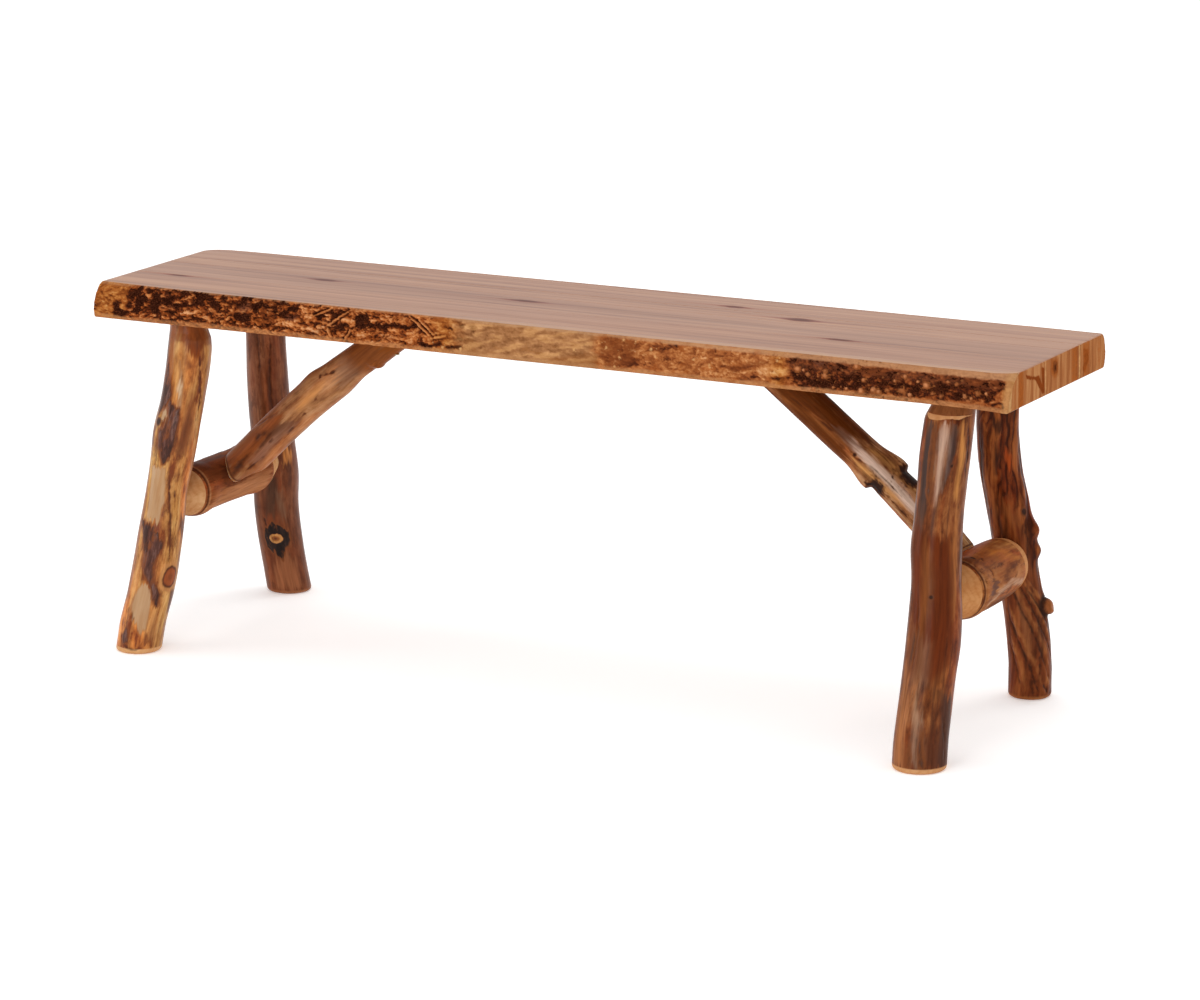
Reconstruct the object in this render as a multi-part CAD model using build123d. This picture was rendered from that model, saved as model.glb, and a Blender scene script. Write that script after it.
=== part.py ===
from build123d import *
import math
import os

# ---------------------------------------------------------------------------
# Rustic log bench.  Millimetres, +Z up, floor at Z = 0.
# X runs along the seat, -Y is the front (live edge) side.
# The geometry is laid out about the middle of the seat and then shifted by
# FRAME_SHIFT_Y so that the origin is under the centre of the bounding box.
# ---------------------------------------------------------------------------

# ---- driving dimensions ----------------------------------------------------
SEAT_L = 1220.0          # seat length (X)
SEAT_D = 280.0           # seat depth (Y), nominal
SEAT_T = 42.0            # seat thickness
SEAT_H = 452.0           # top of the seat above the floor
SEAT_UNDER = SEAT_H - SEAT_T
SEAMS = (-116.0, -46.0, 26.0, 63.0)   # glue lines between the five staves
FRAME_SHIFT_Y = 10.1     # seat centre to bounding box centre

TENON_R = 16.0           # all log tenons are 32 mm round
LEG_TENON_DEPTH = 32.0   # blind depth of the leg tenons in the seat
FOOT_ROUND = 5.0         # eased rim of each foot

RAIL_TENON_TIP = 15.0    # tenon reach past the leg axis

SCREW_R = 2.6            # screw shank radius
SCREW_HEAD_R = 5.2
SCREW_HEAD_T = 2.6
CBORE_R = 6.4            # counterbore over each screw head

# ---- log centre lines: (z, x, y, radius) -----------------------------------
LEG_FL = [(5, -540.9, -164.5, 28.6), (35, -538.0, -159.4, 28.8), (76, -530.8, -150.5, 29.0),
          (116, -526.2, -143.1, 28.4), (155, -522.3, -136.2, 27.4), (195, -518.9, -129.5, 25.9),
          (235, -514.4, -122.2, 27.2), (274, -511.2, -115.7, 28.5), (314, -505.4, -107.8, 27.0),
          (353, -501.6, -100.9, 27.1), (385, -500.6, -96.5, 26.8)]
LEG_RL = [(5, -531.0, 179.4, 28.8), (33, -531.8, 172.0, 28.4), (78, -532.5, 160.3, 28.6),
          (123, -530.8, 149.9, 28.8), (167, -525.6, 141.4, 29.4), (212, -523.2, 131.5, 27.6),
          (256, -521.3, 121.4, 26.8), (300, -518.2, 111.9, 26.1), (343, -514.4, 103.0, 25.3),
          (385, -509.7, 94.6, 25.0)]
LEG_FR = [(5, 529.9, -197.0, 31.4), (31, 528.8, -190.9, 31.3), (66, 528.8, -181.7, 31.2),
          (102, 529.2, -172.3, 30.7), (137, 529.6, -162.9, 31.3), (173, 528.3, -154.5, 30.5),
          (208, 525.5, -146.7, 28.7), (244, 521.8, -139.5, 29.5), (279, 520.4, -131.0, 28.2),
          (315, 520.1, -122.0, 28.5), (350, 519.8, -113.0, 29.5), (387, 520.0, -103.5, 29.0)]
LEG_RR = [(5, 522.3, 147.0, 25.8), (37, 523.3, 143.6, 25.8), (78, 522.2, 138.1, 26.0),
          (128, 517.5, 129.5, 25.4), (159, 512.8, 123.3, 25.4), (199, 509.2, 117.0, 25.9),
          (249, 503.6, 107.8, 26.0), (289, 498.6, 100.1, 25.5), (328, 496.8, 94.3, 24.9),
          (385, 498.5, 88.5, 24.6)]
# the worked neck of each leg up to the seat: (z, x, y, radius), and the tenon's tip centre inside the seat
NECK_FL = [(395, -502.9, -96.0, 24.0), (403, -503.8, -95.7, 22.6), (SEAT_UNDER, -504.1, -95.3, 22.0)]
NECK_RL = [(398, -508.2, 92.4, 22.5), (SEAT_UNDER, -507.0, 90.0, 20.0)]
NECK_FR = [(403, 522.6, -98.0, 25.8), (SEAT_UNDER, 522.9, -95.9, 25.4)]
NECK_RR = [(398, 499.4, 87.2, 22.3), (SEAT_UNDER, 500.0, 86.0, 20.0)]
TIP_FL, TIP_RL = (-500.0, -87.0), (-504.0, 84.2)
TIP_FR, TIP_RR = (522.4, -89.0), (500.6, 82.0)

# ---- end rails: axis points and (distance along Y, radius) profile ----------
RAIL_L_A, RAIL_L_B = (-522.0, -81.0, 185.0), (-523.0, 85.0, 185.0)
RAIL_L_PROFILE = [(-146.0, TENON_R), (-113.0, TENON_R), (-113.0, 16.6), (-81.0, 31.0), (-40.0, 31.4),
                  (0.0, 31.2), (45.0, 31.4), (85.0, 31.0), (118.0, 16.6), (118.0, TENON_R), (153.0, TENON_R)]
RAIL_R_A, RAIL_R_B = (523.6, -84.0, 181.5), (514.4, 65.5, 176.3)
RAIL_R_PROFILE = [(-166.0, TENON_R), (-124.0, TENON_R), (-124.0, 17.0), (-84.0, 34.0), (-50.0, 35.6),
                  (-10.0, 36.3), (30.0, 35.8), (65.5, 34.0), (76.0, 32.0), (86.0, 28.4), (95.0, 23.0),
                  (102.0, 17.0), (102.0, TENON_R), (135.0, TENON_R)]

# ---- braces: centre line (x, z), y and radius --------------------------------
BRACE_L_Y, BRACE_R_Y = 5.0, 0.0
BRACE_L = [(-521.0, 178.0, 21.5), (-500.0, 197.5, 22.8), (-471.0, 225.0, 23.6), (-430.0, 264.0, 23.8),
           (-388.0, 301.0, 23.6), (-348.0, 332.5, 23.2), (-306.0, 363.0, 23.0), (-262.0, 396.0, 23.0),
           (-215.0, 431.0, 23.0)]
BRACE_R = [(514.0, 179.5, 20.5), (497.0, 195.0, 20.8), (479.0, 212.0, 21.4), (444.0, 243.5, 22.0),
           (412.0, 272.5, 22.0), (393.0, 288.5, 21.8), (349.0, 321.5, 21.8), (305.0, 355.0, 21.8),
           (262.0, 388.0, 21.8), (205.0, 431.0, 21.8)]

os.makedirs("parts", exist_ok=True)
SHIFT = Location((0, FRAME_SHIFT_Y, 0))


# ---- helpers -----------------------------------------------------------------
def disc(x, y, z, r):
    return Pos(x, y, z) * Circle(r)


def leg(stations, neck, tip):
    """Log with an eased foot, a neck worked down under the seat and a round tenon."""
    z0, x0, y0, r0 = stations[0]
    z1, x1, y1, r1 = stations[1]
    k = z0 / (z1 - z0)
    fx, fy = x0 - (x1 - x0) * k, y0 - (y1 - y0) * k
    foot = loft([disc(fx, fy, 0, r0 - FOOT_ROUND), disc(x0, y0, z0, r0)], ruled=True)
    shaft = loft([disc(x, y, z, r) for z, x, y, r in stations])
    out = foot + shaft
    rows = [stations[-1]] + neck
    for (za, xa, ya, ra), (zb, xb, yb, rb) in zip(rows[:-1], rows[1:]):
        out += loft([disc(xa, ya, za, ra), disc(xb, yb, zb, rb)], ruled=True)
    zt, xt, yt, rt = neck[-1]
    tenon = loft([disc(xt, yt, SEAT_UNDER, TENON_R),
                  disc(tip[0], tip[1], SEAT_UNDER + LEG_TENON_DEPTH, TENON_R)], ruled=True)
    return out + tenon, tenon


def rail(a, b, profile):
    """Turned log: barrel, coned shoulders and a round tenon at each end."""
    va, vb = Vector(*a), Vector(*b)
    d = vb - va
    def at(y):
        return va + d * ((y - a[1]) / d.Y)
    scale = d.length / d.Y
    pts = [(0.0, profile[0][0] * scale)]
    pts += [(r, y * scale) for y, r in profile]
    pts += [(0.0, profile[-1][0] * scale)]
    face = make_face(Plane.XZ * Polyline(*pts, close=True))
    solid = revolve(face, Axis.Z, 360)
    return Plane(origin=at(0.0), z_dir=d.normalized()) * solid


def brace(line, y, side):
    """Bent branch, still running past the seat and into the rail."""
    secs = []
    for i, (x, z, r) in enumerate(line):
        x0, z0, _ = line[max(i - 1, 0)]
        x1, z1, _ = line[min(i + 1, len(line) - 1)]
        secs.append(Plane(origin=(x, y, z), z_dir=(x1 - x0, 0, z1 - z0)) * Circle(r))
    return loft(secs)


def screw(p, d, length):
    """Countersunk wood screw with its head face at p, running along d."""
    d = Vector(*d).normalized()
    pl = Plane(origin=p, z_dir=d)
    prof = [(0, 0), (SCREW_HEAD_R, 0), (SCREW_HEAD_R, 0.7), (SCREW_R, 0.7 + SCREW_HEAD_T),
            (SCREW_R, length - 6.0), (0, length)]
    return pl * revolve(make_face(Plane.XZ * Polyline(*prof, close=True)), Axis.Z, 360)


def cbore(p, d, back):
    """Clearance from the screw head out through the surface."""
    d = Vector(*d).normalized()
    return Plane(origin=p, z_dir=-d) * extrude(Circle(CBORE_R), back)


def stave(y0, y1):
    return Pos(0, (y0 + y1) / 2, (SEAT_UNDER + SEAT_H) / 2) * Box(SEAT_L, y1 - y0, SEAT_T)


def live_stave(y_in, rows):
    """Edge stave whose outer face wanders; rows are (x, y_bottom, y_mid, y_top)."""
    secs = []
    zm = SEAT_UNDER + 0.52 * SEAT_T
    for x, yb, ym, yt in rows:
        pts = [(x, y_in, SEAT_UNDER), (x, yb, SEAT_UNDER), (x, ym, zm), (x, yt, SEAT_H), (x, y_in, SEAT_H)]
        secs.append(make_face(Polyline(*pts, close=True)))
    return loft(secs, ruled=True)


# ---- legs and rails -----------------------------------------------------------
leg_fl, ten_fl = leg(LEG_FL, NECK_FL, TIP_FL)
leg_rl, ten_rl = leg(LEG_RL, NECK_RL, TIP_RL)
leg_fr, ten_fr = leg(LEG_FR, NECK_FR, TIP_FR)
leg_rr, ten_rr = leg(LEG_RR, NECK_RR, TIP_RR)

rail_l = rail(RAIL_L_A, RAIL_L_B, RAIL_L_PROFILE)
rail_r = rail(RAIL_R_A, RAIL_R_B, RAIL_R_PROFILE)

leg_fl -= rail_l
leg_rl -= rail_l
leg_fr -= rail_r
leg_rr -= rail_r

# ---- braces: coped over the rail, cut flat under the seat ----------------------
above = Pos(0, 0, SEAT_UNDER + 100) * Box(2000, 600, 200)
brace_l = brace(BRACE_L, BRACE_L_Y, 1) - rail_l - above
brace_r = brace(BRACE_R, BRACE_R_Y, -1) - rail_r - above

# ---- seat staves ----------------------------------------------------------------
front_rows = [(-610, -144, -144, -128), (-575, -144.5, -143, -130.5), (-500, -144, -141, -134.5),
              (-380, -142.5, -139, -136.5), (-250, -140.5, -139.5, -137), (-120, -141, -138.5, -138),
              (0, -140.5, -140.5, -139), (130, -139.5, -141, -139), (270, -140.5, -140, -138),
              (400, -141.5, -139, -137), (510, -140.5, -140.5, -138), (560, -142, -141, -137.5),
              (592, -146, -142, -134.5), (604, -148.5, -142.5, -128), (610, -149, -142.5, -122)]
rear_rows = [(-610, 110, 112, 108), (-605, 120, 122, 118), (-597, 127, 130, 125), (-585, 131.5, 135, 129.5),
             (-565, 134, 138, 132), (-520, 135.5, 139.5, 133.5), (-380, 137, 140.5, 135), (-180, 136.5, 140, 136.5),
             (40, 138, 141.5, 138), (260, 139, 142, 138.5), (450, 139, 142.5, 138.5), (570, 141, 144.5, 138.5),
             (610, 141.5, 145, 137)]
stave_1 = live_stave(SEAMS[0], front_rows)
stave_2 = stave(SEAMS[0], SEAMS[1]) - ten_fl - ten_fr
stave_3 = stave(SEAMS[1], SEAMS[2])
stave_4 = stave(SEAMS[2], SEAMS[3])
stave_5 = live_stave(SEAMS[3], rear_rows) - ten_rl - ten_rr

# ---- screws ----------------------------------------------------------------------
# one up through each brace head into the seat
seat_screws, rail_screws, tenon_screws = [], [], []
for bx, by, side in ((-268.0, BRACE_L_Y, 1), (255.0, BRACE_R_Y, -1)):
    p, d = (bx, by, 368.0), (0, 0, 1)
    s = screw(p, d, 68.0)
    seat_screws.append(s)
    c = cbore(p, d, 40)
    if side > 0:
        brace_l = brace_l - s - c
    else:
        brace_r = brace_r - s - c
    stave_3 = stave_3 - s

# one from the underside of each brace foot into the rail
for (cx, cz), by, r, (ax, az), sgn in (((-466.0, 229.8), BRACE_L_Y, 23.6, (-522.5, 185.0), 1),
                                      ((462.0, 227.0), BRACE_R_Y, 21.6, (518.4, 179.0), -1)):
    phi = math.radians(58)
    a = math.radians(43)
    off = Vector(sgn * math.sin(a) * math.cos(phi), math.sin(phi), -math.cos(a) * math.cos(phi)) * (r - 5.0)
    p = Vector(cx, by, cz) + off
    d = (Vector(ax, by, az) - p).normalized()
    s = screw((p.X, p.Y, p.Z), (d.X, d.Y, d.Z), 64.0)
    rail_screws.append(s)
    c = cbore((p.X, p.Y, p.Z), (d.X, d.Y, d.Z), 25)
    if sgn > 0:
        brace_l = brace_l - s - c
        rail_l = rail_l - s
    else:
        brace_r = brace_r - s - c
        rail_r = rail_r - s

# one across each leg through the rail tenon, all driven from the -X side
for (lx, ly, lz, lr), which in (((-519.8, -131.0, 185.0, 26.4), "fl"), ((-524.4, 137.5, 185.0, 28.6), "rl"),
                                ((527.4, -152.0, 183.8, 30.0), "fr"), ((511.4, 119.5, 174.4, 25.6), "rr")):
    p, d = (lx - lr + 3.5, ly, lz), (1, 0, 0)
    s = screw(p, d, 42.0)
    tenon_screws.append(s)
    c = cbore(p, d, 25)
    if which == "fl":
        leg_fl = leg_fl - s - c
        rail_l = rail_l - s
    elif which == "rl":
        leg_rl = leg_rl - s - c
        rail_l = rail_l - s
    elif which == "fr":
        leg_fr = leg_fr - s - c
        rail_r = rail_r - s
    else:
        leg_rr = leg_rr - s - c
        rail_r = rail_r - s

nodes = {
    "seat_stave_front": stave_1,
    "seat_stave_2": stave_2,
    "seat_stave_3": stave_3,
    "seat_stave_4": stave_4,
    "seat_stave_rear": stave_5,
    "leg_front_left": leg_fl,
    "leg_rear_left": leg_rl,
    "leg_front_right": leg_fr,
    "leg_rear_right": leg_rr,
    "end_rail_left": rail_l,
    "end_rail_right": rail_r,
    "brace_left": brace_l,
    "brace_right": brace_r,
    "brace_to_seat_screws": Compound(children=[s for s in seat_screws]),
    "brace_to_rail_screws": Compound(children=[s for s in rail_screws]),
    "rail_tenon_screws": Compound(children=[s for s in tenon_screws]),
}

for name, shape in nodes.items():
    solids = list(shape.solids())
    if len(solids) == 1:
        out = SHIFT * solids[0]
    else:
        out = Compound(children=[SHIFT * s for s in solids])
    export_step(out, "parts/" + name + ".step")
    bb = out.bounding_box()
    print(f"{name:24s} solids {len(solids)} vol {sum(s.volume for s in solids)/1000:9.2f} cm3 "
          f"x {bb.min.X:8.2f} {bb.max.X:8.2f} y {bb.min.Y:8.2f} {bb.max.Y:8.2f} z {bb.min.Z:7.2f} {bb.max.Z:7.2f}")
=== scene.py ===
import bpy, bmesh, math
import numpy as np
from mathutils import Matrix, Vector


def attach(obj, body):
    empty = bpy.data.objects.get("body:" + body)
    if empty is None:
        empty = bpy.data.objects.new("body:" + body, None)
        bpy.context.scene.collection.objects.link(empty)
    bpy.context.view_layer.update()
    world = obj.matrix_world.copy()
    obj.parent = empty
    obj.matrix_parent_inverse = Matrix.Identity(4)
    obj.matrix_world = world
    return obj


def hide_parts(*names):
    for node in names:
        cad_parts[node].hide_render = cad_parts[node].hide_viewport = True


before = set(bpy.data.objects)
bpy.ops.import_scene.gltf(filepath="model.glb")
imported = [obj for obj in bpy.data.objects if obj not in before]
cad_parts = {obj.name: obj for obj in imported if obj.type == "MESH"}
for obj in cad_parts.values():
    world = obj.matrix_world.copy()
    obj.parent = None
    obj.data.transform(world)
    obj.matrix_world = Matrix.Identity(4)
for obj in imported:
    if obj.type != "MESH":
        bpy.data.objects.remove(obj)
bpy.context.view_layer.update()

# ---------------------------------------------------------------------------
# Rustic log bench.  Everything below is worked out in millimetres about the
# middle of the seat, then put in metres in the CAD frame.
# ---------------------------------------------------------------------------
SHIFT_Y = 10.1
SEAT_T, SEAT_U = 452.0, 410.0      # top and underside of the seat
TAU = 2 * math.pi


def to_m(P):
    Q = np.array(P, float).reshape(-1, 3).copy()
    Q[:, 1] += SHIFT_Y
    return Q * 0.001


# ---------------------------------------------------------------------------
# Noise
# ---------------------------------------------------------------------------
_perm = {}
_grad = np.array([(1, 1, 0), (-1, 1, 0), (1, -1, 0), (-1, -1, 0), (1, 0, 1), (-1, 0, 1), (1, 0, -1), (-1, 0, -1),
                  (0, 1, 1), (0, -1, 1), (0, 1, -1), (0, -1, -1), (1, 1, 0), (0, -1, 1), (-1, 1, 0), (0, -1, -1)], float)


def _p(seed):
    if seed not in _perm:
        r = np.random.RandomState(1000 + seed)
        a = r.permutation(256)
        _perm[seed] = np.concatenate([a, a, a])
    return _perm[seed]


def noise(x, y, z, seed=0):
    """Gradient noise, about -1 to 1."""
    x, y, z = np.broadcast_arrays(np.asarray(x, float), np.asarray(y, float), np.asarray(z, float))
    p = _p(seed)
    xi, yi, zi = np.floor(x).astype(int), np.floor(y).astype(int), np.floor(z).astype(int)
    xf, yf, zf = x - xi, y - yi, z - zi
    xi &= 255; yi &= 255; zi &= 255
    u = xf ** 3 * (xf * (xf * 6 - 15) + 10)
    v = yf ** 3 * (yf * (yf * 6 - 15) + 10)
    w = zf ** 3 * (zf * (zf * 6 - 15) + 10)

    def g(ix, iy, iz, fx, fy, fz):
        h = p[p[p[(xi + ix) & 255] + ((yi + iy) & 255)] + ((zi + iz) & 255)] & 15
        gr = _grad[h]
        return gr[..., 0] * fx + gr[..., 1] * fy + gr[..., 2] * fz

    def mix(a, b, t):
        return a + t * (b - a)
    return mix(mix(mix(g(0, 0, 0, xf, yf, zf), g(1, 0, 0, xf - 1, yf, zf), u),
                   mix(g(0, 1, 0, xf, yf - 1, zf), g(1, 1, 0, xf - 1, yf - 1, zf), u), v),
               mix(mix(g(0, 0, 1, xf, yf, zf - 1), g(1, 0, 1, xf - 1, yf, zf - 1), u),
                   mix(g(0, 1, 1, xf, yf - 1, zf - 1), g(1, 1, 1, xf - 1, yf - 1, zf - 1), u), v), w)


def fbm(x, y, z, seed=0, octaves=4, gain=0.5):
    s, a, f, n = 0.0, 1.0, 1.0, 0.0
    for i in range(octaves):
        s = s + a * noise(x * f + 7.3 * i, y * f - 3.1 * i, z * f + 1.7 * i, seed + i)
        n += a
        a *= gain
        f *= 2.03
    return s / n


def voronoi(x, y, seed=0, jitter=0.9):
    """Nearest and second distance, and a random number and offset of the nearest cell, in a plane."""
    p = _p(seed)
    xi, yi = np.floor(x).astype(int), np.floor(y).astype(int)
    best = np.full(x.shape, 9.0)
    second = np.full(x.shape, 9.0)
    rid = np.zeros(x.shape)
    ox = np.zeros(x.shape)
    oy = np.zeros(x.shape)
    for i in (-1, 0, 1):
        for j in (-1, 0, 1):
            cx, cy = xi + i, yi + j
            h = p[p[cx & 255] + (cy & 255)]
            h2 = p[h + 37]
            h3 = p[h + 91]
            fx = cx + 0.5 + jitter * (h / 255.0 - 0.5)
            fy = cy + 0.5 + jitter * (h2 / 255.0 - 0.5)
            dx, dy = x - fx, y - fy
            d = np.hypot(dx, dy)
            near = d < best
            second = np.where(near, best, np.minimum(second, d))
            rid = np.where(near, h3 / 255.0, rid)
            ox = np.where(near, dx, ox)
            oy = np.where(near, dy, oy)
            best = np.where(near, d, best)
    return best, second, rid, ox, oy


def sstep(a, b, x):
    t = np.clip((x - a) / (b - a), 0, 1)
    return t * t * (3 - 2 * t)


def hermite(ts, vs, t):
    """Smooth curve through (ts, vs)."""
    ts, vs, t = np.asarray(ts, float), np.asarray(vs, float), np.asarray(t, float)
    d = np.diff(vs) / np.diff(ts)
    m = np.empty(len(ts))
    m[0], m[-1] = d[0], d[-1]
    w = np.diff(ts)
    m[1:-1] = (d[:-1] * w[1:] + d[1:] * w[:-1]) / (w[1:] + w[:-1])
    i = np.clip(np.searchsorted(ts, t, side="right") - 1, 0, len(ts) - 2)
    h = ts[i + 1] - ts[i]
    u = (t - ts[i]) / h
    lo, hi = u < 0, u > 1
    uc = np.clip(u, 0, 1)
    r = ((2 * uc ** 3 - 3 * uc ** 2 + 1) * vs[i] + (uc ** 3 - 2 * uc ** 2 + uc) * h * m[i]
         + (-2 * uc ** 3 + 3 * uc ** 2) * vs[i + 1] + (uc ** 3 - uc ** 2) * h * m[i + 1])
    r = np.where(lo, vs[0] + (t - ts[0]) * m[0], r)
    return np.where(hi, vs[-1] + (t - ts[-1]) * m[-1], r)


def poly_sdf(px, py, poly):
    """Signed distance to a polygon in a plane, negative inside."""
    poly = np.asarray(poly, float)
    d = np.full(px.shape, 1e18)
    inside = np.zeros(px.shape, bool)
    n = len(poly)
    for i in range(n):
        a, b = poly[i], poly[(i + 1) % n]
        e = b - a
        wx, wy = px - a[0], py - a[1]
        t = np.clip((wx * e[0] + wy * e[1]) / max(e @ e, 1e-12), 0, 1)
        d = np.minimum(d, (wx - t * e[0]) ** 2 + (wy - t * e[1]) ** 2)
        if abs(e[1]) > 1e-12:
            cross = (a[1] > py) != (b[1] > py)
            xin = a[0] + (py - a[1]) * e[0] / e[1]
            inside ^= cross & (px < xin)
    return np.where(inside, -1, 1) * np.sqrt(d)


def line_dist(px, py, pts, along=False):
    """Distance to a polyline, and how far along it, 0 to 1, the nearest point is."""
    pts = np.asarray(pts, float)
    seg = np.linalg.norm(np.diff(pts, axis=0), axis=1)
    tot, run = max(seg.sum(), 1e-9), 0.0
    d = np.full(px.shape, 1e18)
    f = np.zeros(px.shape)
    for a, b, l in zip(pts[:-1], pts[1:], seg):
        e = b - a
        wx, wy = px - a[0], py - a[1]
        t = np.clip((wx * e[0] + wy * e[1]) / max(e @ e, 1e-12), 0, 1)
        dd = (wx - t * e[0]) ** 2 + (wy - t * e[1]) ** 2
        near = dd < d
        d = np.where(near, dd, d)
        f = np.where(near, (run + t * l) / tot, f)
        run += l
    return (np.sqrt(d), f) if along else np.sqrt(d)


def blur(D, n, wrap=True):
    """Box blur, along both grid directions."""
    out = D
    for k in range(2):
        acc = out.copy()
        for s in range(1, n + 1):
            acc = acc + np.roll(out, s, 1) + np.roll(out, -s, 1)
        out = acc / (2 * n + 1)
    pad = np.concatenate([np.repeat(out[:1], n, 0), out, np.repeat(out[-1:], n, 0)], 0)
    c = np.cumsum(np.concatenate([np.zeros((1, out.shape[1])), pad], 0), 0)
    return (c[2 * n + 1:] - c[:-(2 * n + 1)]) / (2 * n + 1)


# ---------------------------------------------------------------------------
# Meshes
# ---------------------------------------------------------------------------
def mesh_object(name, V, quads, tris, attrs, node=None, mats=(), mat_index=None):
    me = bpy.data.meshes.new(name)
    V = to_m(V).astype(np.float32)
    quads = np.asarray(quads, np.int32).reshape(-1, 4)
    tris = np.asarray(tris, np.int32).reshape(-1, 3)
    me.vertices.add(len(V))
    me.vertices.foreach_set("co", V.ravel())
    loops = np.concatenate([quads.ravel(), tris.ravel()])
    me.loops.add(len(loops))
    me.loops.foreach_set("vertex_index", loops)
    me.polygons.add(len(quads) + len(tris))
    starts = np.concatenate([np.arange(len(quads)) * 4, len(quads) * 4 + np.arange(len(tris)) * 3]).astype(np.int32)
    me.polygons.foreach_set("loop_start", starts)
    me.polygons.foreach_set("use_smooth", np.ones(len(starts), bool))
    if mat_index is not None:
        me.polygons.foreach_set("material_index", np.asarray(mat_index, np.int32))
    me.update(calc_edges=True)
    for k, v in attrs.items():
        v = np.asarray(v, np.float32)
        if v.ndim == 2 and v.shape[1] == 3:
            me.attributes.new(k, "FLOAT_VECTOR", "POINT").data.foreach_set("vector", v.ravel())
        elif v.ndim == 2 and v.shape[1] == 4:
            me.attributes.new(k, "FLOAT_COLOR", "POINT").data.foreach_set("color", v.ravel())
        else:
            me.attributes.new(k, "FLOAT", "POINT").data.foreach_set("value", v.ravel())
    o = bpy.data.objects.new(name, me)
    bpy.context.scene.collection.objects.link(o)
    for m in mats:
        me.materials.append(m)
    if node:
        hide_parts(node)
    return o


def tube_faces(nv, nu):
    """Quads of a tube of nv rows of nu points, and fans to the two end points, which are the last two vertices."""
    i = np.arange(nv - 1)[:, None] * nu
    j = np.arange(nu)[None, :]
    jn = (j + 1) % nu
    q = np.stack([i + j, i + jn, i + nu + jn, i + nu + j], -1).reshape(-1, 4)
    a, b = nv * nu, nv * nu + 1
    jj = np.arange(nu)
    jjn = (jj + 1) % nu
    t0 = np.stack([np.full(nu, a), jjn, jj], -1)
    last = (nv - 1) * nu
    t1 = np.stack([np.full(nu, b), last + jj, last + jjn], -1)
    return q, np.concatenate([t0, t1])


def with_ends(A):
    """Adds the mean of the first and last rows after a (rows, around, k) grid of values."""
    k = A.shape[2] if A.ndim == 3 else 1
    B = A.reshape(A.shape[0], A.shape[1], k)
    out = np.concatenate([B.reshape(-1, k), B[0].mean(0)[None], B[-1].mean(0)[None]])
    return out if A.ndim == 3 else out[:, 0]


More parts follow.
